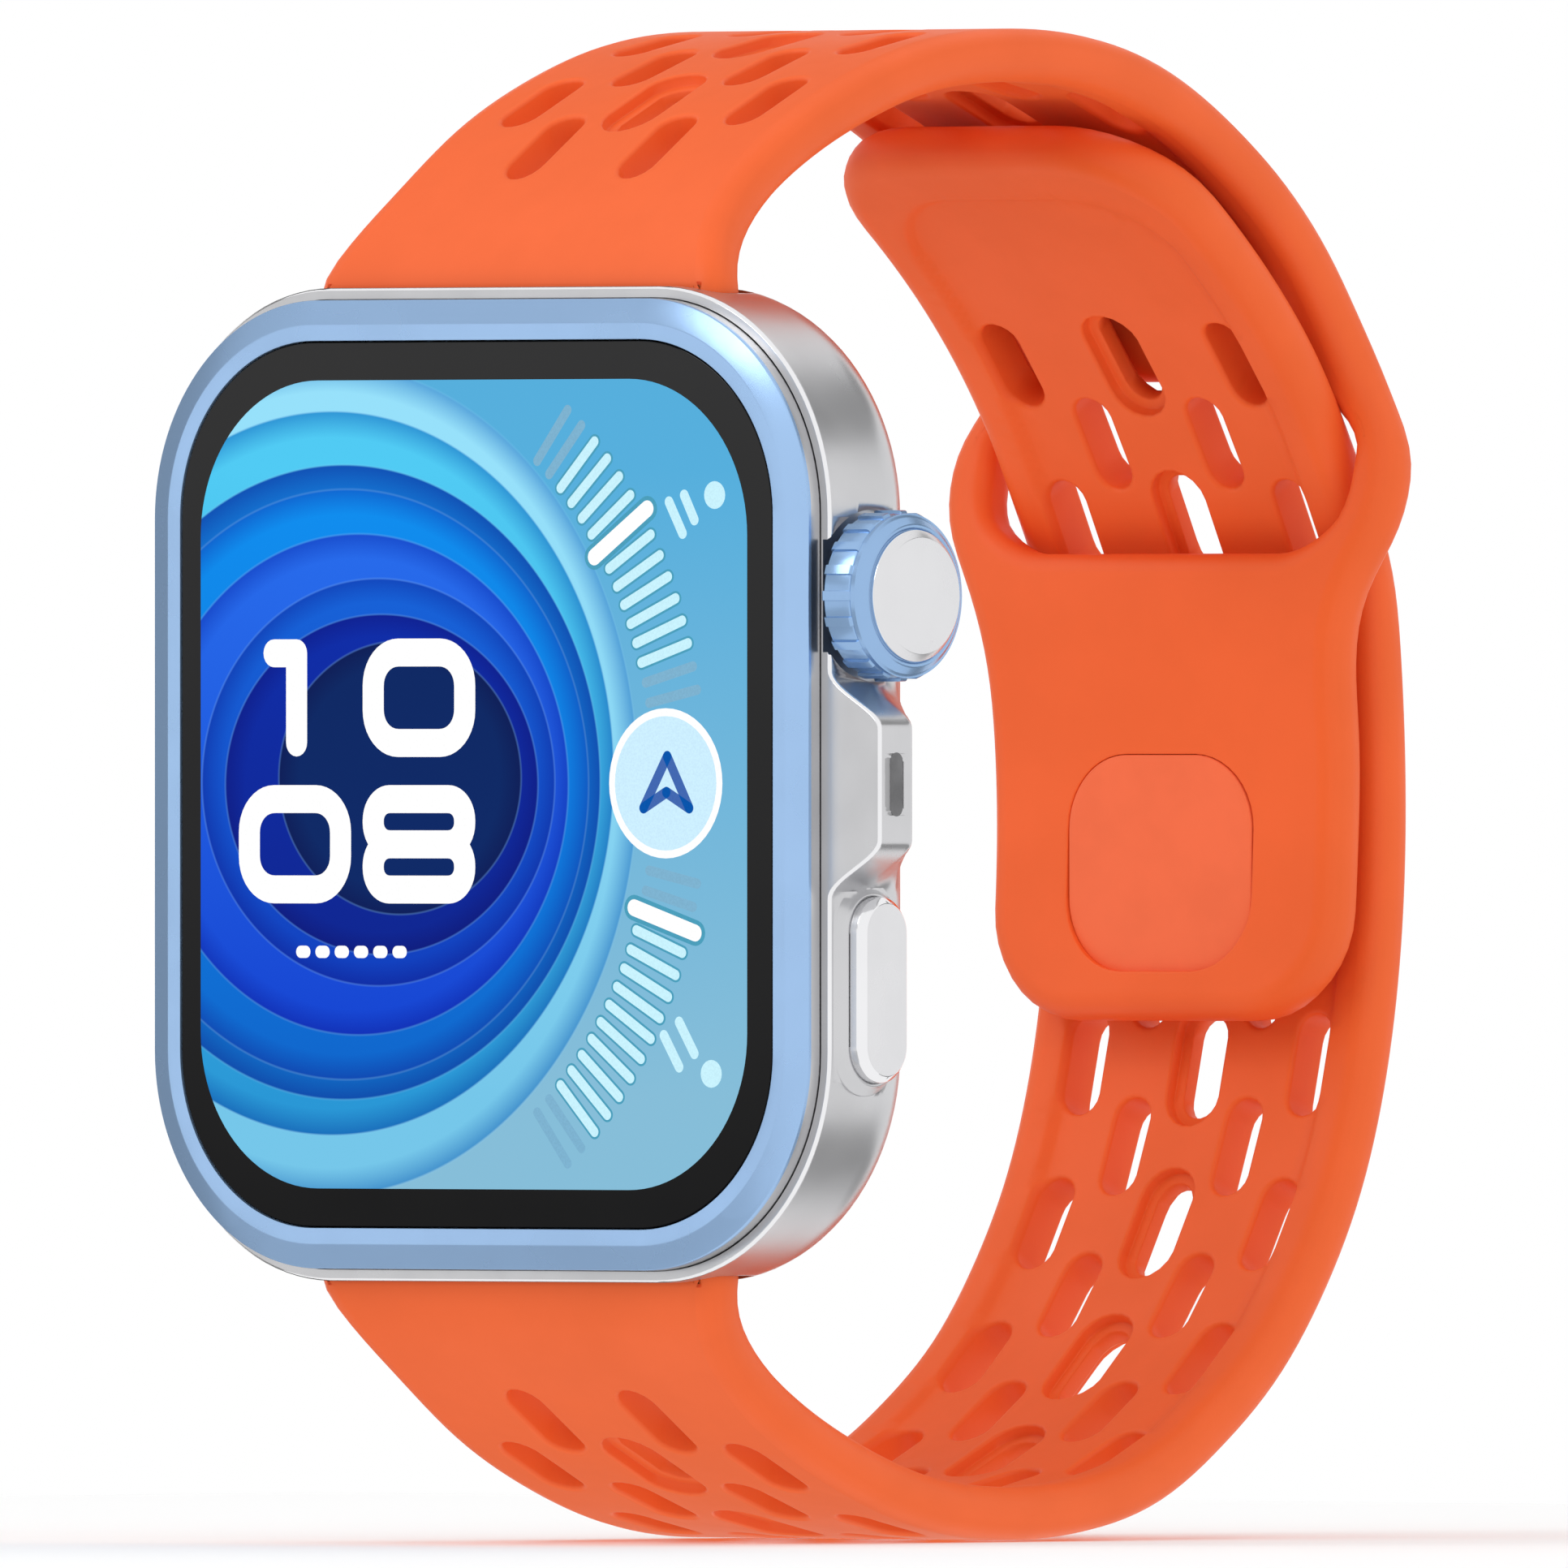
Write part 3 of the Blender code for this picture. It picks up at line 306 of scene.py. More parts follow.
STEEL = grained("brushed_steel", (176, 178, 182), 0.3, 1.0, grain=0.08, height=0.003,
                stretch=(1, 1, 0.08), tint=0.9)
PLASTIC = grained("black_plastic", (20, 20, 22), 0.5, grain=0.1, height=0.01, tint=1.6)
MESH_FABRIC = grained("dark_mesh", (138, 138, 140), 0.55, 0.3, grain=0.12, height=0.03, tint=0.5)
SEAL = grained("seal_rubber", (30, 30, 31), 0.8, grain=0.15, height=0.01, tint=1.5)
BOARD = grained("board_green", (16, 62, 40), 0.4, grain=0.5, height=0.02, tint=1.7, patch=1.0)
GOLD = grained("gold_contact", (226, 186, 110), 0.22, 1.0, grain=0.1, height=0.002)
FOIL = grained("battery_foil", (70, 72, 80), 0.35, 0.5, grain=1.2, height=0.03)
DISPLAY = swirl_finish()
WHITE_MARK = glowing("display_white", (255, 255, 255))
ICE_MARK = glowing("display_ice", (196, 240, 252))
SHADE_MARK = glowing("display_shade", (40, 150, 182))
DISC_MARK = glowing("display_disc", (200, 236, 254))
FAINT_MARK = glowing("display_faint", (112, 172, 204))
INK_MARK = glowing("display_ink", (10, 84, 170))


# Mesh helpers ----------------------------------------------------------------------------------

def ease(value):
    """0 to 1 with a level start and end, for numbers and arrays."""
    value = np.clip(value, 0.0, 1.0)
    return value * value * (3 - 2 * value)


def show(name, points, faces, looks, bands=None, slot=None, sharp=30.0, weighted=True):
    """A piece from points in millimetres; bands gives each face's finish."""
    mesh = bpy.data.meshes.new(name)
    mesh.from_pydata([tuple(np.asarray(point) * MM) for point in points], [], faces)
    for look in looks:
        mesh.materials.append(look.material)
    if bands is not None:
        mesh.polygons.foreach_set("material_index", bands)
    bm = bmesh.new()
    bm.from_mesh(mesh)
    bmesh.ops.remove_doubles(bm, verts=bm.verts[:], dist=1e-7)
    bmesh.ops.recalc_face_normals(bm, faces=bm.faces[:])
    bm.to_mesh(mesh)
    bm.free()
    obj = bpy.data.objects.new(name, mesh)
    bpy.context.scene.collection.objects.link(obj)
    smooth(obj, sharp, weighted)
    return obj


def smooth(obj, sharp=30.0, weighted=True):
    obj.data.shade_smooth()
    obj.data.set_sharp_from_angle(angle=math.radians(sharp))
    if weighted:
        normals = obj.modifiers.new("normals", "WEIGHTED_NORMAL")
        normals.keep_sharp = True


def rounded(width, height, corner, steps=16):
    """Outline of a rectangle with round corners, as an array of points."""
    points = []
    for side_a, side_b, start in ((1, 1, 0), (-1, 1, 90), (-1, -1, 180), (1, -1, 270)):
        for step in range(steps + 1):
            angle = math.radians(start + 90 * step / steps)
            points.append((side_a * (width / 2 - corner) + corner * math.cos(angle),
                           side_b * (height / 2 - corner) + corner * math.sin(angle)))
    return np.array(points)


def pill(width, height, steps=12):
    """Outline of a slot with round ends, longer along its second direction."""
    points = []
    for side, start in ((1, 0), (-1, 180)):
        for step in range(steps + 1):
            angle = math.radians(start + 180 * step / steps)
            points.append((width / 2 * math.cos(angle),
                           side * (height - width) / 2 + width / 2 * math.sin(angle)))
    return np.array(points)


def circle(radius, steps=64):
    turns = np.arange(steps) * math.tau / steps
    return radius * np.stack([np.cos(turns), np.sin(turns)], axis=1)


def inset(outline, distance):
    """A closed outline moved inwards by a distance, or outwards by a negative one."""
    ahead = np.roll(outline, -1, axis=0) - outline
    ahead /= np.linalg.norm(ahead, axis=1, keepdims=True) + 1e-12
    inward = np.stack([-ahead[:, 1], ahead[:, 0]], axis=1)
    before = np.roll(inward, 1, axis=0)
    both = inward + before
    share = 1 + np.sum(inward * before, axis=1, keepdims=True)
    return outline + distance * both / np.maximum(share, 0.2)


def soften(profile, radius, steps=3):
    """Turn the corners of an open profile into small curves."""
    made = [profile[0]]
    for before, corner, after in zip(profile, profile[1:], profile[2:]):
        before, corner, after = map(np.array, (before, corner, after))
        one, two = before - corner, after - corner
        reach = min(radius, 0.45 * np.linalg.norm(one), 0.45 * np.linalg.norm(two))
        start = corner + one / np.linalg.norm(one) * reach
        stop = corner + two / np.linalg.norm(two) * reach
        for step in range(steps + 1):
            way = step / steps
            made.append(tuple((1 - way) ** 2 * start + 2 * way * (1 - way) * corner
                              + way ** 2 * stop))
    return made + [profile[-1]]


def front_on(outline, depth, centre=(0.0, 0.0)):
    """Lay an outline in the X-Z plane at a depth."""
    return [(centre[0] + a, depth, centre[1] + b) for a, b in outline]


def side_on(outline, across, centre=(0.0, 0.0)):
    """Lay an outline in the Y-Z plane at an X position."""
    return [(across, centre[0] + a, centre[1] + b) for a, b in outline]


def skin(rings, cyclic=False):
    """Points and faces of a body whose equal rings follow each other, capped unless cyclic."""
    count = len(rings[0])
    points = [point for ring in rings for point in ring]
    faces = []
    pairs = list(zip(range(len(rings)), range(1, len(rings))))
    if cyclic:
        pairs.append((len(rings) - 1, 0))
    for one, two in pairs:
        for k in range(count):
            nxt = (k + 1) % count
            faces.append((one * count + k, one * count + nxt, two * count + nxt, two * count + k))
    if not cyclic:
        faces.append(tuple(range(count)))
        faces.append(tuple(range((len(rings) - 1) * count, len(rings) * count)))
    return points, faces


def stack(name, outline, profile, lay, centre, looks, slot=None, cyclic=False, look_of=None):
    """A body whose outline is inset step by step: profile holds (inset, position) steps.

    look_of numbers the finish of a band from the two steps that it runs between.
    """
    rings = [lay(inset(outline, step), position, centre) for step, position in profile]
    points, faces = skin(rings, cyclic)
    bands = None
    if look_of:
        count = len(outline)
        bands = [look_of(profile[min(k // count, len(profile) - 1)],
                         profile[min(k // count + 1, len(profile) - 1)])
                 for k in range(len(faces))]
    return show(name, points, faces, looks, bands, slot)


def cutter(outline, low, high, lay, centre=(0.0, 0.0)):
    """A solid to cut with."""
    rings = [lay(outline, low, centre), lay(outline, high, centre)]
    return show("cutter", *skin(rings), [SATIN], weighted=False)


def carve(obj, boss, cutters):
    """Join a boss to a piece, cut solids out of both, then keep only the result."""
    for tool in [boss] + cutters:
        boolean = obj.modifiers.new("cut", "BOOLEAN")
        boolean.operation = "UNION" if tool is boss else "DIFFERENCE"
        boolean.object = tool
        boolean.solver = "EXACT"
    for modifier in [item for item in obj.modifiers if item.type == "WEIGHTED_NORMAL"]:
        obj.modifiers.remove(modifier)
    bpy.context.view_layer.update()
    result = bpy.data.meshes.new_from_object(
        obj.evaluated_get(bpy.context.evaluated_depsgraph_get()))
    obj.modifiers.clear()
    obj.data = result
    for tool in [boss] + cutters:
        bpy.data.objects.remove(tool)
    smooth(obj)


def merge(name, pieces):
    """Several meshes as one piece; all use the first one's finishes."""
    first = pieces[0]
    bm = bmesh.new()
    for piece in pieces:
        bm.from_mesh(piece.data)
    bm.to_mesh(first.data)
    bm.free()
    for piece in pieces[1:]:
        bpy.data.objects.remove(piece)
    first.name = name
    smooth(first, weighted=False)
    return first


# Case ------------------------------------------------------------------------------------------

def case_outline(bulge):
    """The case seen from the front, with the crown guard standing out by a share of its reach."""
    outline = rounded(CASE_WIDTH, CASE_HEIGHT, CASE_CORNER, 24)
    samples, straight = 120, END - CASE_CORNER
    right_side = [(SIDE, -straight + 2 * straight * k / samples) for k in range(1, samples)]
    outline = np.concatenate([outline, right_side])
    shape = (ease((GUARD_TOP - outline[:, 1]) / GUARD_SLOPE)
             * ease((outline[:, 1] - GUARD_BOTTOM) / GUARD_SLOPE))
    on_right = outline[:, 0] > SIDE - 0.01
    outline[:, 0] += GUARD_REACH * bulge * shape * on_right
    return outline


def case_rings():
    """(inset, depth, guard share) from the front edge to the back face."""
    edge_end, last_share = CASE_FRONT + FRONT_EDGE, 0.15
    guard_steps, back_steps, back_start = 8, 12, 25
    rings = [(FRONT_EDGE + 0.02, CASE_FRONT, 1), (FRONT_EDGE, CASE_FRONT + 0.01, 1),
             (0.02, edge_end - 0.01, 1), (0, edge_end + 0.02, 1), (0, edge_end + 0.1, 1),
             (0, GUARD_FACE_BACK - 0.35, 1), (0, GUARD_FACE_BACK - 0.2, 1),
             (0, GUARD_FACE_BACK, 0.985)]
    for step in range(1, guard_steps + 1):
        way = step / guard_steps
        depth = GUARD_FACE_BACK + (GUARD_BACK - GUARD_FACE_BACK) * way
        rings.append((back_inset(depth), depth, 1 - (1 - last_share) * way))
    rings.append((back_inset(GUARD_BACK + 0.1), GUARD_BACK + 0.1, 0))
    for step in range(1, back_steps + 1):
        angle = math.radians(back_start + (90 - back_start) * step / back_steps)
        depth = CASE_BACK - BACK_ROUND + BACK_ROUND * math.sin(angle)
        if depth > GUARD_BACK + 0.2:
            rings.append((back_inset(depth), depth, 0))
    return rings


def back_inset(depth):
    """How far the rounded back has drawn in at a depth."""
    past = max(0.0, depth - (CASE_BACK - BACK_ROUND))
    return BACK_ROUND - math.sqrt(max(0.0, BACK_ROUND ** 2 - past ** 2))


def make_case():
    rings = case_rings()
    loops = [front_on(inset(case_outline(share), step), depth) for step, depth, share in rings]
    points, faces = skin(loops)
    edge_faces = 3 * len(loops[0])           # the polished front edge is the first three bands
    bands = [1 if k < edge_faces else 0 for k in range(len(faces))]
    case = show("case_shell", points, faces, [SATIN, POLISHED], bands, "silver_case")
    crown, button = (CROWN_Y, CROWN_Z), (BUTTON_Y, BUTTON_Z)
    seat = rounded(BEZEL_WIDTH + 2 * SEAT_GAP, BEZEL_HEIGHT + 2 * SEAT_GAP,
                   BEZEL_CORNER + SEAT_GAP, 24)
    mic_slot = pill(MIC_WIDTH - 2 * MIC_LIP, MIC_LENGTH - 2 * MIC_LIP)
    button_hole = pill(BUTTON_CAP[0] + 2 * BUTTON_GAP, BUTTON_CAP[1] + 2 * BUTTON_GAP, 32)
    cutters = [
        cutter(seat, CASE_FRONT - OVERRUN, SEAT_FLOOR, front_on),
        cutter(rounded(*CAVITY), SEAT_FLOOR - OVERRUN, CAVITY_LEDGE, front_on),
        cutter(rounded(*LOWER_CAVITY), CAVITY_LEDGE - 0.3, CAVITY_FLOOR, front_on),
        cutter(rounded(*BACK_OPENING), CAVITY_FLOOR - 0.2, CASE_BACK + OVERRUN, front_on),
        cutter(rounded(*COVER_RECESS), COVER_SEAT, CASE_BACK + OVERRUN, front_on),
        cutter(circle(CROWN_POCKET_RADIUS, 96), CROWN_POCKET_FLOOR, SIDE + OVERRUN, side_on,
               crown),
        cutter(circle(STEM_HOLE_RADIUS, 32), STEM_HOLE_END, SIDE, side_on, crown),
        cutter(mic_slot, SIDE + 0.4, SIDE + GUARD_REACH + OVERRUN, side_on, (MIC_Y, 0)),
        cutter(pill(*SPEAKER_SLOT), -SIDE - OVERRUN, SPEAKER_SLOT_END, side_on, SPEAKER_SPOT)]
    for end in (1, -1):
        cutters.append(cutter(rounded(*STRAP_POCKET, 6), END - STRAP_POCKET_DEPTH, END + OVERRUN,
                              top_on(end), (0, STRAP_POCKET_Y)))
    cutters.append(cutter(button_hole, BUTTON_POCKET_FLOOR, SIDE + OVERRUN, side_on, button))
    boss_profile = soften([(-BOSS_FOOT, SIDE - 1), (-BOSS_FOOT, SIDE - 0.02), (0.04, SIDE + 0.32),
                           (0.14, SIDE + BOSS_HEIGHT), (0.3, SIDE + BOSS_HEIGHT)], 0.05)
    boss = stack("boss", pill(*BOSS, 24), boss_profile, side_on, button, [SATIN])
    carve(case, boss, cutters)
    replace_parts(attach(case, "case"), "case_body")


def make_mic_screen():
    """The dark screen that closes the microphone slot, flush with the guard's face."""
    screen = stack("mic_screen", pill(MIC_WIDTH, MIC_LENGTH, 24),
                   [(0, SIDE + 2.3), (0, SIDE + GUARD_REACH + 0.004)], side_on, (MIC_Y, 0),
                   [MESH_FABRIC], "black_plastic")
    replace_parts(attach(screen, "case"), "mic_mesh")


def top_on(end):
    """Lay an outline in the X-Y plane at a height above or below the middle."""
    def lay(outline, height, centre=(0.0, 0.0)):
        return [(centre[0] + a, centre[1] + b, end * height) for a, b in outline]
    return lay


# Bezel, glass and display ----------------------------------------------------------------------

def make_bezel():
    chamfer_width, chamfer_drop, ring_inset, inner_lean = 1.1, 0.35, 1.82, 0.04
    blue_depth = FRONT + 0.6
    inner = ring_inset + inner_lean
    profile = soften([(0.0, BEZEL_BACK), (0.0, blue_depth), (0.0, FRONT + chamfer_drop),
                      (chamfer_width, FRONT), (ring_inset, FRONT), (inner, FRONT + 0.3),
                      (inner, BEZEL_BACK)], 0.05)

    def look_of(one, two):
        """Silver on the side wall behind the blue, blue elsewhere."""
        on_wall = one[0] == two[0] == 0
        return 1 if on_wall and min(one[1], two[1]) > blue_depth - 0.08 else 0
    bezel = stack("bezel_trim", rounded(BEZEL_WIDTH, BEZEL_HEIGHT, BEZEL_CORNER, 32), profile,
                  front_on, (0, 0), [BEZEL_BLUE, SATIN], "blue_bezel", True, look_of)
    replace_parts(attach(bezel, "case"), "bezel_ring")
    edge = 0.06
    glass = stack("front_glass", rounded(GLASS_WIDTH, GLASS_HEIGHT, GLASS_CORNER, 32),
                  [(0, GLASS_BACK), (0, GLASS_FRONT + edge), (edge * 0.3, GLASS_FRONT + edge / 3),
                   (edge, GLASS_FRONT)], front_on, (0, 0), [GLASS], "cover_glass")
    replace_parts(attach(glass, "case"), "cover_glass")


def display_piece(name, outlines, depth, look):
    """Flat marks on the display, each with a little thickness towards the glass."""
    parts = []
    for outline in outlines:
        points, faces = skin([front_on(outline, depth), front_on(outline, depth + MARK_THICK)])
        parts.append(show(name, points, faces, [look], weighted=False))
    piece = merge(name, parts)
    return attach(piece, "case")


def stroke(start, stop, width):
    """Outline of a straight mark with round ends."""
    start, stop = np.array(start), np.array(stop)
    along = stop - start
    length = np.linalg.norm(along)
    along = along / length
    aside = np.array((along[1], -along[0]))
    shape = pill(width, length + width, 10)
    middle = (start + stop) / 2
    return [middle + a * aside + b * along for a, b in shape]


def make_display():
    screen = rounded(SCREEN_WIDTH, SCREEN_HEIGHT, SCREEN_CORNER, 24) + (SCREEN_CENTRE_X, 0)
    display_piece("display_picture", [screen], SCREEN_Y, DISPLAY)
    make_digits()
    make_ticks()
    make_badge()


def make_digits():
    """Four plain digits of even stroke, 10 above 08, and a row of six dots."""
    thick, corner, width, height = 1.25, 2.1, 6.7, 5.3
    left, right, upper, lower = -10.75, -3.35, 3.88, -2.68
    parts = [ring_mark((right, upper), width, height, corner, thick),
             ring_mark((left, lower), width, height, corner, thick)]
    half = (height + thick) / 2
    for side in (1, -1):
        spot = (right, lower + side * (height - half) / 2)
        parts.append(ring_mark(spot, width, half, half / 2 - 0.05, thick))
    stem, flag, top, bottom = -10.65, -12.0, upper + 2.0, upper - 2.0
    flats = [stroke((stem, top), (stem, bottom), thick), stroke((flag, top), (stem, top), thick)]
    dots, first_dot, dot_row, pitch, length, dot_width = 6, -10.4, -7.5, 1.15, 0.3, 0.55
    for k in range(dots):
        start = first_dot + pitch * k
        flats.append(stroke((start, dot_row), (start + length, dot_row), dot_width))
    parts.append(display_piece("flat_marks", flats, MARK_Y, WHITE_MARK))
    digits = merge("display_digits", parts)
    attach(digits, "case")


def ring_mark(centre, width, height, corner, thick):
    """A rounded ring of even stroke."""
    outer = rounded(width, height, corner, 10) + centre
    inner = inset(outer, thick)
    rings = [front_on(outer, MARK_Y), front_on(inner, MARK_Y),
             front_on(inner, MARK_Y + MARK_THICK), front_on(outer, MARK_Y + MARK_THICK)]
    return show("ring_mark", *skin(rings, cyclic=True), [WHITE_MARK], weighted=False)


def make_ticks():
    """Two arcs of short marks, one bright mark in each, with pale ghosts at their ends."""
    centre, inner, outer = np.array((-7.9, -0.1)), 18.6, 21.5
    highest, step = 45.8, 2.85               # degrees
    ghosts, ticks, reach = 2, 11, 0.45
    width, shade_width, bright_width, bright_shade_width = 0.46, 0.66, 0.75, 1.15
    plain, shade, bright, faint = [], [], [], []
    for half, bright_one in ((1, 4), (-1, 10)):
        for k in range(-ghosts, ticks + ghosts):
            angle = math.radians(half * (highest - step * k))
            way = np.array((math.cos(angle), math.sin(angle)))
            if k == bright_one:
                spots = (centre + way * (inner - reach), centre + way * (outer + reach))
                shade.append(stroke(*spots, bright_shade_width))
                bright.append(stroke(*spots, bright_width))
                continue
            spots = (centre + way * inner, centre + way * outer)
            if 0 <= k < ticks:
                shade.append(stroke(*spots, shade_width))
                plain.append(stroke(*spots, width))
            else:
                faint.append(stroke(*spots, width))
    display_piece("display_tick_shades", shade, UNDER_MARK_Y, SHADE_MARK)
    display_piece("display_ghost_ticks", faint, UNDER_MARK_Y, FAINT_MARK)
    display_piece("display_ticks", plain, MARK_Y, ICE_MARK)
    display_piece("display_bright_ticks", bright, OVER_MARK_Y, WHITE_MARK)


def make_badge():
    """A round badge with an arrow on it, and small dots and bars beyond the two arcs."""
    centre, radius, rim, stroke_width = np.array((11.3, 0.05)), 3.0, 0.35, 0.5
    display_piece("display_badge_rim", [circle(radius + rim, 48) + centre], UNDER_MARK_Y,
                  WHITE_MARK)
    display_piece("display_badge", [circle(radius, 48) + centre], MARK_Y, DISC_MARK)
    left, tip, right, notch = (-1.3, -1.1), (0.1, 1.2), (1.4, -1.1), (0.05, -0.4)
    arrow = [stroke(centre + start, centre + stop, stroke_width)
             for start, stop in ((left, tip), (tip, right), (left, notch), (notch, right))]
    display_piece("display_badge_mark", arrow, OVER_MARK_Y, INK_MARK)
    icons = [circle(0.62, 24) + spot for spot in ((14.2, 12.9), (14.0, -12.9))]
    icons += [stroke(start, stop, stroke_width) for start, stop in
              (((11.5, 12.6), (12.3, 11.2)), ((12.4, 12.9), (13.0, 11.8)),
               ((11.2, -11.2), (12.1, -12.6)), ((12.1, -10.6), (13.0, -12.0)))]
    display_piece("display_icons", icons, MARK_Y, ICE_MARK)


# Crown and button ------------------------------------------------------------------------------

def toothed(tip, root):
    """An outline with narrow raised teeth between wide flats."""
    points = []
    root_lean, tip_lean = 0.00024, 0.00072   # of a turn, so that a tooth's sides lean
    for tooth in range(CROWN_TEETH):
        start = (tooth - TOOTH_SHARE / 2) / CROWN_TEETH
        stop = (tooth + TOOTH_SHARE / 2) / CROWN_TEETH
        gap = (1 - TOOTH_SHARE) / CROWN_TEETH
        spots = [(root, start - root_lean), (tip, start + tip_lean), (tip, (start + stop) / 2),
                 (tip, stop - tip_lean), (root, stop + root_lean)]
        spots += [(root, stop + gap * share) for share in (0.33, 0.67)]
        points += [(radius * math.cos(math.tau * turn), radius * math.sin(math.tau * turn))
                   for radius, turn in spots]
    return np.array(points)


def turned(name, profile, spot, look, slot, steps=96):
    """A profile of (radius, position) turned about the X axis."""
    rings = [side_on(circle(max(radius, 0.002), steps), position, spot)
             for radius, position in profile]
    return show(name, *skin(rings), [look], slot=slot)


def make_crown():
    spot = (CROWN_Y, CROWN_Z)
    root = CROWN_RADIUS - TOOTH_HEIGHT
    teeth = toothed(CROWN_RADIUS, root)
    plain = toothed(root - 0.02, root - 0.02)
    grip = [(plain, 0.5, CROWN_INNER), (plain, 0.95, CROWN_INNER),
            (teeth, 0.985, CROWN_INNER + 0.02), (teeth, 1.0, CROWN_INNER + 0.1),
            (teeth, 1.0, CROWN_SHOULDER - 0.38), (teeth, 0.99, CROWN_SHOULDER - 0.3),
            (plain, 1.004, CROWN_SHOULDER - 0.24), (plain, 1.0, CROWN_SHOULDER - 0.02)]
    loops = [side_on(outline * scale, position, spot) for outline, scale, position in grip]
    ring_face = soften([(root - 0.03, CROWN_SHOULDER - 0.02), (3.5, CROWN_SHOULDER + 0.06),
                        (CROWN_RIM_RADIUS + 0.08, CROWN_FACE - 0.03),
                        (CROWN_RIM_RADIUS, CROWN_FACE),
                        (CROWN_RIM_RADIUS - 0.09, CROWN_FACE - 0.02),
                        (CROWN_CAP_RADIUS + 0.05, CROWN_FACE - 0.1), (2.8, CROWN_FACE - 0.12)],
                       0.03)
    turns = np.arctan2(plain[:, 1], plain[:, 0])
    directions = np.stack([np.cos(turns), np.sin(turns)], axis=1)
    for radius, position in ring_face:
        loops.append(side_on(radius * directions, position, spot))
    loops.append(side_on(plain * 0.5, CROWN_FACE - 0.14, spot))
    ring = show("crown_grip", *skin(loops), [CROWN_BLUE], slot="blue_crown")
    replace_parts(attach(ring, "crown"), "crown_ring")
    cap_back = CROWN_FACE - 0.2
    profile = soften([(0, cap_back), (CROWN_CAP_RADIUS, cap_back),
                      (CROWN_CAP_RADIUS, CROWN_CAP_FACE - CROWN_CAP_DROP),
                      (CROWN_CAP_FLAT, CROWN_CAP_FACE), (0, CROWN_CAP_FACE)], 0.03)
    cap = turned("crown_button", profile, spot, CONTROL, "silver_controls")
    cap.data.materials.append(POLISHED.material)
    for face in cap.data.polygons:
        if abs(face.normal.x) < 0.6:         # the side wall is polished, the rest satin
            face.material_index = 1
    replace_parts(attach(cap, "crown"), "crown_cap")


def make_button():
    bevel, drop = 0.3, 0.32
    profile = soften([(0, BUTTON_POCKET_FLOOR + 0.45), (0, BUTTON_FACE - drop),
                      (bevel, BUTTON_FACE), (2 * bevel, BUTTON_FACE)], 0.05)

    def look_of(one, two):
        """Polished on the bevel, satin elsewhere."""
        return 1 if one[0] < two[0] and one[1] < BUTTON_FACE - 0.01 else 0
    cap = stack("button_key", pill(*BUTTON_CAP, 32), profile, side_on, (BUTTON_Y, BUTTON_Z),
                [CONTROL, POLISHED], "silver_controls", look_of=look_of)
    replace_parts(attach(cap, "side_button"), "button_cap")


# Straps ----------------------------------------------------------------------------------------

class Route:
    """A natural cubic spline through route points (y, z, half width), by length along it."""

    def __init__(self, points, outward):
        self.values = np.array(points, float)
        legs = np.hypot(*np.diff(self.values[:, :2], axis=0).T)
        self.knots = np.concatenate([[0], np.cumsum(legs)])
        self.length = self.knots[-1]
        self.outward = outward
        count = len(points)
        system = np.eye(count)
        right = np.zeros((count, 3))
        slopes = np.diff(self.values, axis=0) / legs[:, None]
        for k in range(1, count - 1):
            system[k, k - 1:k + 2] = legs[k - 1], 2 * (legs[k - 1] + legs[k]), legs[k]
            right[k] = 6 * (slopes[k] - slopes[k - 1])
        self.bends = np.linalg.solve(system, right)

    def at(self, s):
        """Centre y, z and half width at each length s."""
        s = np.atleast_1d(s)
        k = np.clip(np.searchsorted(self.knots, s) - 1, 0, len(self.knots) - 2)
        leg = (self.knots[k + 1] - self.knots[k])[:, None]
        after, before = (s - self.knots[k])[:, None], (self.knots[k + 1] - s)[:, None]
        curve = self.bends[k] * before ** 3 + self.bends[k + 1] * after ** 3
        line = ((self.values[k] / leg - self.bends[k] * leg / 6) * before
                + (self.values[k + 1] / leg - self.bends[k + 1] * leg / 6) * after)
        return curve / (6 * leg) + line

    def place(self, x, s, depth):
        """Points x across, s along and depth outwards from the middle."""
        step = 0.01
        tangent = (self.at(s + step) - self.at(s - step))[:, :2]
        tangent /= np.linalg.norm(tangent, axis=1, keepdims=True)
        normal = self.outward * np.stack([-tangent[:, 1], tangent[:, 0]], axis=1)
        centre = self.at(s)[:, :2] + normal * np.asarray(depth)[:, None]
        return np.column_stack([x, centre])

    def half(self, s):
        return self.at(s)[:, 2]


UPPER = Route(UPPER_ROUTE, 1)
LOWER = Route(LOWER_ROUTE, -1)


def corner_loss(to_end, corner):
    """How much narrower a shape is near an end with round corners."""
    left = np.clip(to_end, 0, corner)
    return corner - np.sqrt(np.maximum(0, corner ** 2 - (corner - left) ** 2))


def end_stations(low, high, corner_low, corner_high, spacing=0.8):
    """Lengths between two ends, closer together at round corners."""
    turns = np.sin(np.radians(np.linspace(0, 90, 10)))
    parts = [np.linspace(low + corner_low, high - corner_high,
                         int((high - low - corner_low - corner_high) / spacing) + 2)]
    if corner_low:
        parts.insert(0, (low + corner_low * (1 - turns))[::-1][:-1])
    if corner_high:
        parts.append((high - corner_high * (1 - turns))[1:])
    return np.concatenate(parts)


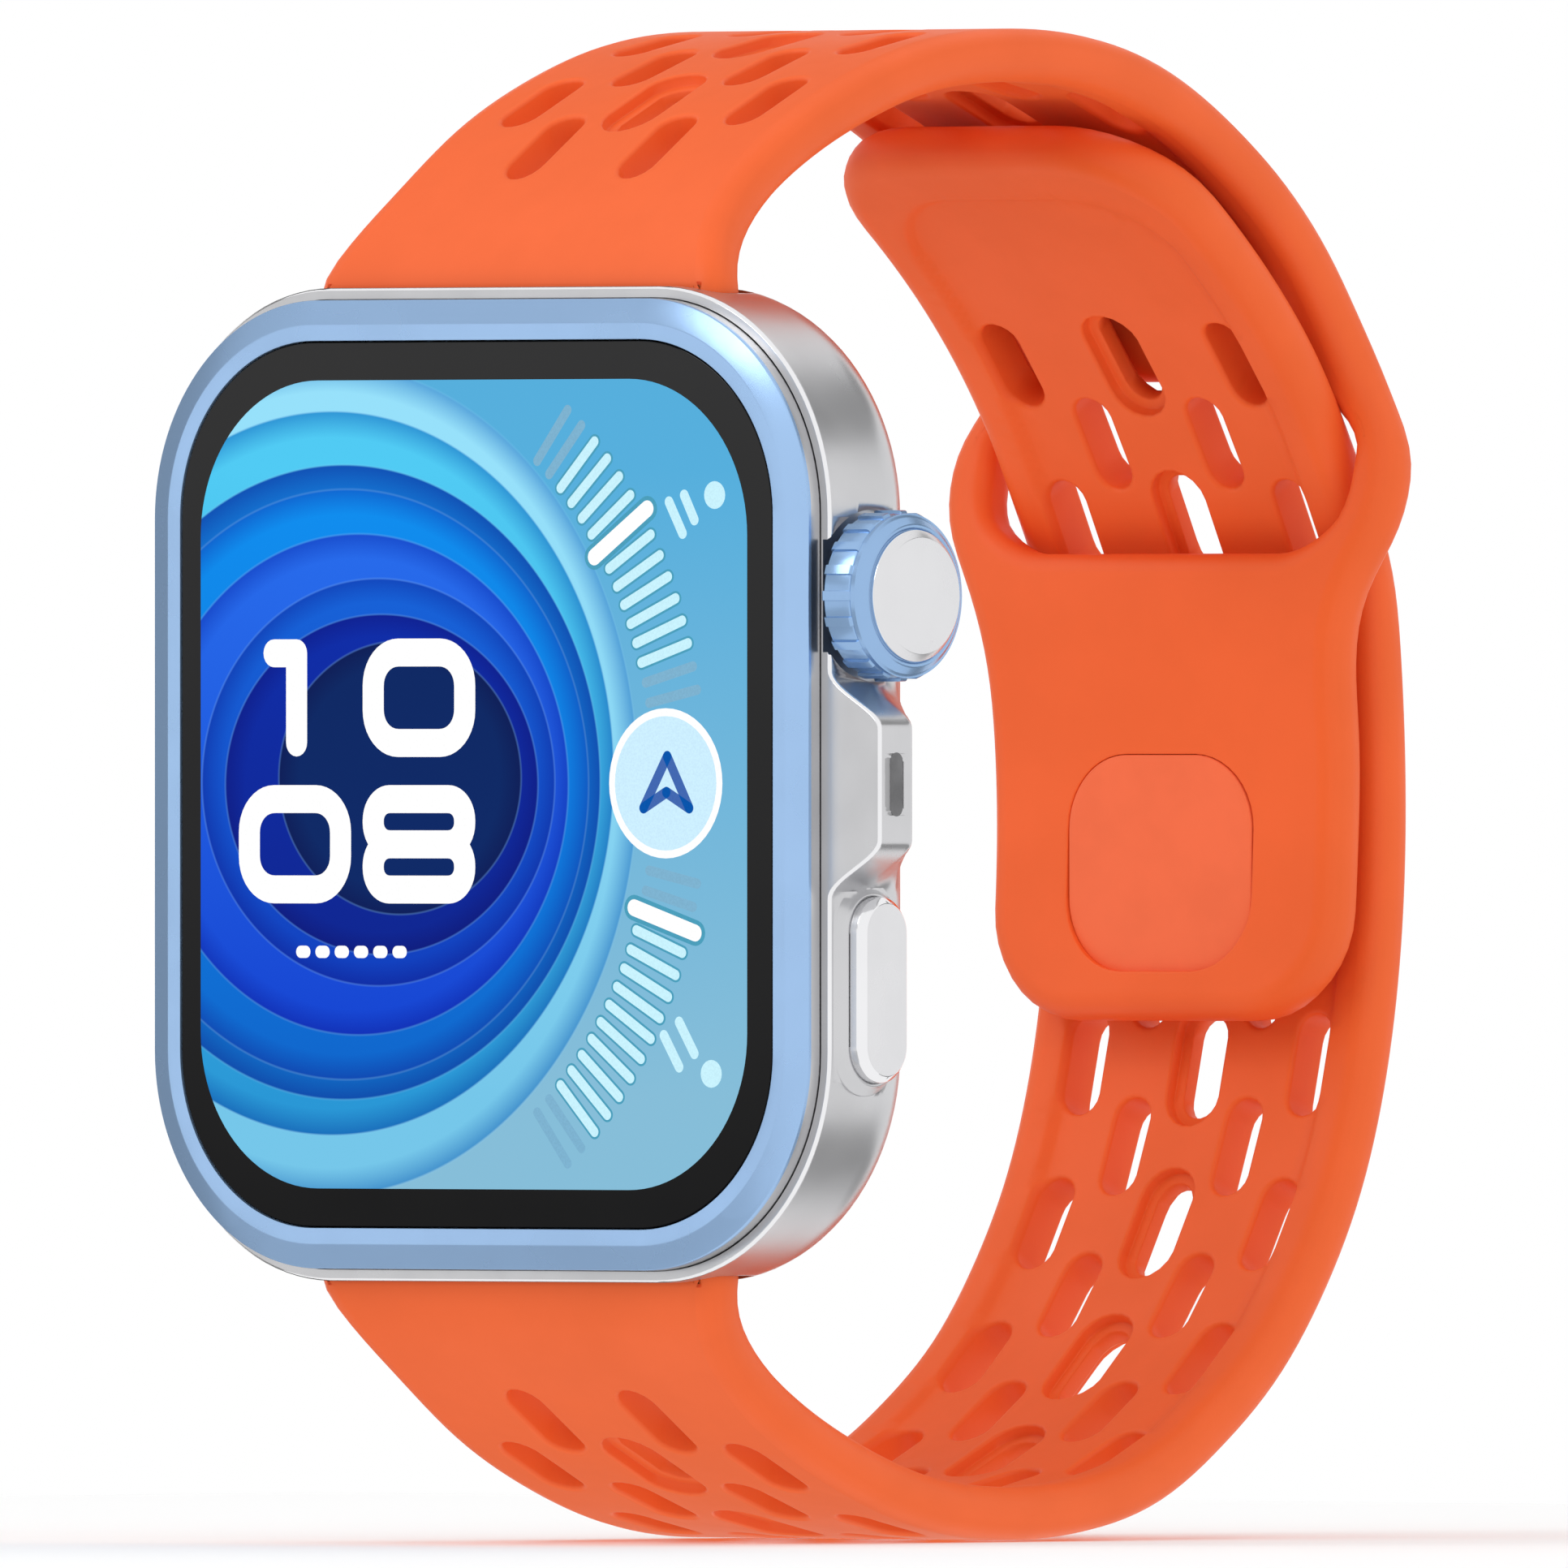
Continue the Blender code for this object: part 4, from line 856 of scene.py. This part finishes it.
def outline_along(stations, half_of):
    """A closed outline round both sides of a strip, anticlockwise in (x, s)."""
    half = half_of(stations)
    right = np.column_stack([half, stations])
    left = np.column_stack([-half, stations])[::-1]
    ends = []
    for first, last in ((right[-1], left[0]), (left[-1], right[0])):
        count = max(2, int(abs(first[0] - last[0]) / 0.8))
        ways = np.linspace(0, 1, count + 1)[1:-1, None]
        ends.append(first + (last - first) * ways)
    outline = np.concatenate([right, ends[0], left, ends[1]])
    keep = np.linalg.norm(np.roll(outline, -1, axis=0) - outline, axis=1) > 1e-4
    return outline[keep]


def inside(points, outline):
    """Which points lie within a closed outline."""
    a, b = outline, np.roll(outline, -1, axis=0)
    x, y = points[:, :1], points[:, 1:]
    crosses = (a[:, 1] > y) != (b[:, 1] > y)
    with np.errstate(divide="ignore", invalid="ignore"):
        where = (b[:, 0] - a[:, 0]) * (y - a[:, 1]) / (b[:, 1] - a[:, 1]) + a[:, 0]
    return (np.sum(crosses & (x < where), axis=1) % 2) == 1


class Hole:
    """An opening in a strap: an outline in (x, s) and its wall on each face.

    A wall is a list of (growth, below) steps, from the face down to the middle of the strap.
    """

    def __init__(self, outline, outer_wall, inner_wall):
        self.outline = outline
        self.walls = {1: outer_wall, -1: inner_wall}


def round_wall(radius, extra=0.0, steps=4):
    """A wall that meets the face with a round rim."""
    made = [(radius + extra + 0.1, 0.0)]
    for step in range(steps + 1):
        angle = math.radians(90 * step / steps)
        made.append((extra + radius * (1 - math.sin(angle)), radius * (1 - math.cos(angle))))
    return made


PLAIN_WALL = round_wall(0.22)
STEPPED_WALL = round_wall(0.14, 0.52) + [(0.5, 0.5), (0.44, 0.56), (0.08, 0.58), (0.0, 0.66)]


def slot_holes(rows, without_middle=None):
    """The ventilation slots: rows of two and rows of three, the middle ones stepped."""
    holes = []
    for row in range(rows):
        s = float(np.interp(row, ROW_NUMBERS, ROW_PLACES))
        columns = (-1, 1) if row % 2 == 0 else (-2, 0, 2)
        for column in columns:
            if column == 0 and row == without_middle:
                continue
            wall = STEPPED_WALL if column == 0 else PLAIN_WALL
            outline = pill(*SLOT_SIZE, 9) + (column * SLOT_COLUMN, s)
            holes.append(Hole(outline, wall, wall))
    return holes


class Channel:
    """The shallow channel round the slots on a strap's inner face, between two lengths."""

    def __init__(self, start, stop):
        self.middle, self.long = (start + stop) / 2, stop - start

    def distance(self, points):
        """Signed distance from the border, less than nothing inside."""
        corner_at = np.array((CHANNEL_HALF, self.long / 2)) - CHANNEL_CORNER
        past = np.abs(points - (0, self.middle)) - corner_at
        outside = np.linalg.norm(np.maximum(past, 0), axis=1)
        return outside + np.minimum(np.max(past, axis=1), 0) - CHANNEL_CORNER

    def contours(self):
        """Points along the ramp, so that its edges come out crisp."""
        outline = rounded(2 * CHANNEL_HALF, self.long, CHANNEL_CORNER, 12)
        return [resample(inset(outline, step), 0.5) + (0, self.middle)
                for step in np.linspace(0, CHANNEL_RAMP, 4)]


def make_strap(name, route, corner, channel, holes, node):
    """One closed strap: two sheets of triangles, round edges and the walls of its openings."""
    stations = end_stations(0, route.length, 0, corner)
    border = outline_along(stations, lambda s: route.half(s)
                           - corner_loss(route.length - s, corner))

    def face_depth(points, side):
        """How far a face lies from the middle of the strap."""
        depth = np.full(len(points), STRAP_HALF)
        if side < 0:
            depth -= CHANNEL_DEPTH * ease(-channel.distance(points) / CHANNEL_RAMP)
        return depth

    points, faces = [], []

    def add(flat, depth):
        """Add points and give back their numbers."""
        first = sum(len(item) for item in points)
        points.append(route.place(flat[:, 0], flat[:, 1], depth))
        return list(range(first, first + len(flat)))

    def strip(one, two):
        """Faces between two loops of equal length."""
        for k in range(len(one)):
            nxt = (k + 1) % len(one)
            faces.append((one[k], one[nxt], two[nxt], two[k]))

    margin, edge_steps = 0.12, 8
    border_rims, hole_rims = {}, {}
    for side in (1, -1):
        flat_border = inset(border, STRAP_EDGE + margin)
        border_rims[side] = add(flat_border, side * face_depth(flat_border, side))
        loops = [(flat_border, border_rims[side])]
        for number, hole in enumerate(holes):
            wall = hole.walls[side]
            if wall:
                loop = inset(hole.outline, -wall[0][0])
                hole_rims[number, side] = add(loop, side * face_depth(loop, side))
                loops.append((loop, hole_rims[number, side]))
        faces += sheet(loops, channel if side < 0 else None,
                       lambda flat: add(flat, side * face_depth(flat, side)))
    previous = border_rims[1]
    for step in range(edge_steps + 1):
        angle = math.radians(90 - 180 * step / edge_steps)
        ring = inset(border, STRAP_EDGE * (1 - math.cos(angle)))
        depth = ((STRAP_HALF - STRAP_EDGE) * np.sign(round(math.sin(angle), 6))
                 + STRAP_EDGE * math.sin(angle))
        ids = add(ring, np.full(len(ring), depth))
        strip(previous, ids)
        previous = ids
    strip(previous, border_rims[-1])
    for number, hole in enumerate(holes):
        ends = []
        for side in (1, -1):
            if not hole.walls[side]:
                continue
            previous = hole_rims[number, side]
            for growth, below in hole.walls[side][1:]:
                loop = inset(hole.outline, -growth)
                ids = add(loop, side * (face_depth(loop, side) - below))
                strip(previous, ids)
                previous = ids
            ends.append(previous)
        if len(ends) == 2:
            strip(*ends)
        else:
            faces.append(tuple(ends[0]))
    strap = show(name, np.concatenate(points), faces, [SILICONE], slot="strap_silicone",
                 sharp=60.0)
    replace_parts(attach(strap, "case"), node)


def sheet(loops, channel, add):
    """Triangles over one face of a strap, between its border and the rims of its openings.

    loops holds (outline, point numbers), the border first; add makes more points.
    """
    spacing, clear = 0.9, 0.22
    border = loops[0][0]
    low, high = border.min(axis=0), border.max(axis=0)
    grid_x, grid_s = np.meshgrid(np.arange(low[0], high[0], spacing),
                                 np.arange(low[1], high[1], spacing))
    grid = np.column_stack([grid_x.ravel(), grid_s.ravel()])
    if channel:
        off_ramp = np.abs(channel.distance(grid) + CHANNEL_RAMP / 2) > CHANNEL_RAMP / 2 + 0.25
        grid = np.concatenate([grid[off_ramp]] + channel.contours())
    grid = grid[inside(grid, inset(border, 0.2))]
    ids, edges = [], []
    for outline, numbers in loops:
        start, count = len(ids), len(numbers)
        edges += [(start + k, start + (k + 1) % count) for k in range(count)]
        ids += numbers
    for outline, _ in loops[1:]:
        grid = grid[~inside(grid, inset(outline, -clear))]
    ids += add(grid)
    flat = np.concatenate([outline for outline, _ in loops] + [grid])
    result = delaunay_2d_cdt([Vector(point) for point in flat], edges, [], 1, 1e-6)
    spots, triangles, sources = result[0], result[2], result[3]
    number_of = []
    for spot, origins in zip(spots, sources):
        number_of.append(ids[origins[0]] if origins else add(np.array([tuple(spot)]))[0])
    centres = np.array([np.mean([tuple(spots[k]) for k in face], axis=0) for face in triangles])
    keep = inside(centres, border)
    for outline, _ in loops[1:]:
        keep &= ~inside(centres, outline)
    return [tuple(number_of[k] for k in face) for face, kept in zip(triangles, keep) if kept]


def resample(outline, spacing):
    """Points evenly spaced round a closed outline."""
    closed = np.concatenate([outline, outline[:1]])
    legs = np.linalg.norm(np.diff(closed, axis=0), axis=1)
    along = np.concatenate([[0], np.cumsum(legs)])
    spots = np.linspace(0, along[-1], int(along[-1] / spacing), endpoint=False)
    return np.column_stack([np.interp(spots, along, closed[:, k]) for k in (0, 1)])


def window_hole():
    """The keeper's window, with rails of even width beside it."""
    stations = end_stations(*WINDOW, WINDOW_CORNER, WINDOW_CORNER, 0.7)

    def half_of(s):
        free = np.minimum(WINDOW_HALF, UPPER.half(s) - WINDOW_RAIL)
        return (free - corner_loss(s - WINDOW[0], WINDOW_CORNER)
                - corner_loss(WINDOW[1] - s, WINDOW_CORNER))
    wall = round_wall(0.85, steps=6)
    return Hole(outline_along(stations, half_of), wall, wall)


def make_straps():
    base = rounded(PIN_BASE[0] + 2 * PIN_RECESS_GAP, PIN_BASE[1] + 2 * PIN_RECESS_GAP,
                   PIN_BASE[2] + PIN_RECESS_GAP, 10)
    pocket = Hole(base + (0, PIN_BASE_AT), None, round_wall(0.06, steps=2) + [(0, 0.5)])
    pin_slot = Hole(pill(*PIN_SLOT, 12) + (0, PIN_SLOT_AT), STEPPED_WALL, PLAIN_WALL)
    make_strap("strap_with_keeper", UPPER, TONGUE_CORNER,
               Channel(CHANNEL_START, WINDOW[0] - UPPER_CHANNEL_GAP),
               slot_holes(UPPER_ROWS) + [window_hole(), pocket], "strap_upper")
    make_strap("strap_with_slots", LOWER, TAIL_CORNER,
               Channel(CHANNEL_START, LOWER.length - LOWER_CHANNEL_GAP),
               slot_holes(LOWER_ROWS, PIN_ROW) + [pin_slot], "strap_lower")


def make_pin():
    """The closure pin: a rounded base in the tongue, a stud through the slot and a head."""
    base = soften([(0.5, PIN_BASE_FRONT), (0, PIN_BASE_FRONT), (0, PIN_BASE_BACK),
                   (0.5, PIN_BASE_BACK)], 0.12)
    stud = [(0, PIN_BASE_BACK - PIN_LAP), (0, PIN_HEAD_FRONT + 0.1)]
    head = soften([(0.5, PIN_HEAD_FRONT), (0, PIN_HEAD_FRONT), (0, PIN_HEAD_BACK),
                   (0.6, PIN_HEAD_BACK)], 0.2)
    pieces = [stack("pin_" + label, outline, profile, front_on, (0, PIN_Z), [PIN_SILICONE])
              for label, outline, profile in (("plate", rounded(*PIN_BASE), base),
                                              ("stud", pill(*PIN_STUD, 16), stud),
                                              ("head", pill(*PIN_HEAD, 16), head))]
    pin = merge("closure_pin_fine", pieces)
    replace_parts(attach(pin, "case"), "closure_pin")


# Carried-over CAD pieces -----------------------------------------------------------------------

NODE_LOOKS = {
    "chassis": STEEL, "screw": STEEL, "shield": STEEL, "clip": STEEL, "release": STEEL,
    "stem": STEEL, "tube": STEEL, "retainer": STEEL, "haptic": STEEL, "speaker_mesh": MESH_FABRIC,
    "mic_mesh": MESH_FABRIC, "board": BOARD, "antenna": GOLD, "contact": GOLD, "emitter": GOLD,
    "microphone": GOLD, "battery": FOIL, "gasket": SEAL, "seal": SEAL, "rear_cover": CERAMIC,
    "rear_lens": CERAMIC, "display_panel": GLASS}


def dress_nodes():
    """Give every CAD node its procedural finish."""
    for name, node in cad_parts.items():
        look = next((look for key, look in NODE_LOOKS.items() if key in name), PLASTIC)
        node.data.materials.clear()
        node.data.materials.append(look.material)


# Stage -----------------------------------------------------------------------------------------

VIEW_AZIMUTH = math.radians(41)
LENS, SENSOR, CAMERA_AWAY = 1500.0, 36.0, 2.943
AIM = Vector((-3.7, 16.03, 0.02)) * MM
FLOOR_Z, FLOOR_HALF = -34.02, 150.0
CARD_AWAY, CARDS_CENTRE = 600, (0, 10, 0)
# Cards that only reflections see: direction, width, height and brightness
CARDS = {
    "card_left": ((-0.971, -0.238, 0.0), 500, 900, 0.25),
    "card_high": ((-0.656, -0.616, 0.50), 760, 330, 0.6),
    "card_low": ((-0.656, -0.616, -0.50), 760, 330, 0.6),
    "card_behind_high": ((0.38, 0.755, 0.56), 520, 190, 0.3),
    "card_back_left_high": ((-0.62, 0.4, 0.66), 420, 380, 0.12),
    "card_behind_low": ((0.38, 0.755, -0.56), 520, 190, 0.3),
    "card_back_left_low": ((-0.62, 0.4, -0.66), 420, 380, 0.12)}


def panel(name, width, height, level, look):
    """A level rectangle round the origin."""
    x, y = width / 2, height / 2
    corners = [(-x, -y, level), (x, -y, level), (x, y, level), (-x, y, level)]
    return show(name, corners, [(0, 1, 2, 3)], [look], weighted=False)


def make_card(name, direction, width, height, gray):
    look = Finish(name, (0, 0, 0), 1.0)
    look.put("Specular IOR Level", 0.0)
    look.put("Emission Color", (gray, gray, gray, 1.0))
    look.put("Emission Strength", 1.0)
    toward = Vector(direction).normalized()
    card = panel(name, width, height, 0, look)
    card.location = (toward * CARD_AWAY + Vector(CARDS_CENTRE)) * MM
    card.rotation_euler = toward.to_track_quat("Z", "Y").to_euler()
    hide_from(card, "camera", "diffuse", "shadow", "transmission", "volume_scatter")


def hide_from(obj, *rays):
    for ray in rays:
        setattr(obj, "visible_" + ray, False)


def make_light(name, kind, place, power):
    data = bpy.data.lights.new(name, kind)
    data.energy = power
    light = bpy.data.objects.new(name, data)
    light.location = place
    bpy.context.scene.collection.objects.link(light)
    return light


def make_lights():
    """An even white studio, a soft key light, and a faint glow inside the strap's loop."""
    world = bpy.data.worlds.new("studio")
    bpy.context.scene.world = world
    world.use_nodes = True
    background = world.node_tree.nodes["Background"]
    background.inputs["Color"].default_value = (1, 1, 1, 1)
    background.inputs["Strength"].default_value = 1.0
    key = make_light("key", "AREA", (-0.15, -0.45, 0.35), 0.5)
    key.data.shape = "DISK"
    key.data.size = 0.25
    toward = Vector((0, 0.015, 0)) - key.location
    key.rotation_euler = toward.to_track_quat("-Z", "Y").to_euler()
    glow = make_light("inner_glow", "POINT", (0.004, 0.016, 0), 0.005)
    glow.data.shadow_soft_size = 8 * MM
    hide_from(glow, "camera", "glossy")


def make_camera():
    data = bpy.data.cameras.new("camera")
    data.lens, data.sensor_width = LENS, SENSOR
    data.clip_start, data.clip_end = 0.1, 10.0
    camera = bpy.data.objects.new("camera", data)
    away = Vector((math.sin(VIEW_AZIMUTH), -math.cos(VIEW_AZIMUTH), 0))
    camera.location = AIM + away * CAMERA_AWAY
    camera.rotation_euler = (-away).to_track_quat("-Z", "Y").to_euler()
    bpy.context.scene.collection.objects.link(camera)
    bpy.context.scene.camera = camera
    bpy.context.scene.view_settings.view_transform = "Standard"


def make_stage():
    floor = panel("floor", 2 * FLOOR_HALF, 2 * FLOOR_HALF, FLOOR_Z,
                  Finish("floor_white", (250, 250, 250), 0.9))
    hide_from(floor, "diffuse", "glossy")
    for name, settings in CARDS.items():
        make_card(name, *settings)
    make_camera()
    make_lights()


dress_nodes()
make_case()
make_mic_screen()
make_bezel()
make_display()
make_crown()
make_button()
make_straps()
make_pin()
make_stage()
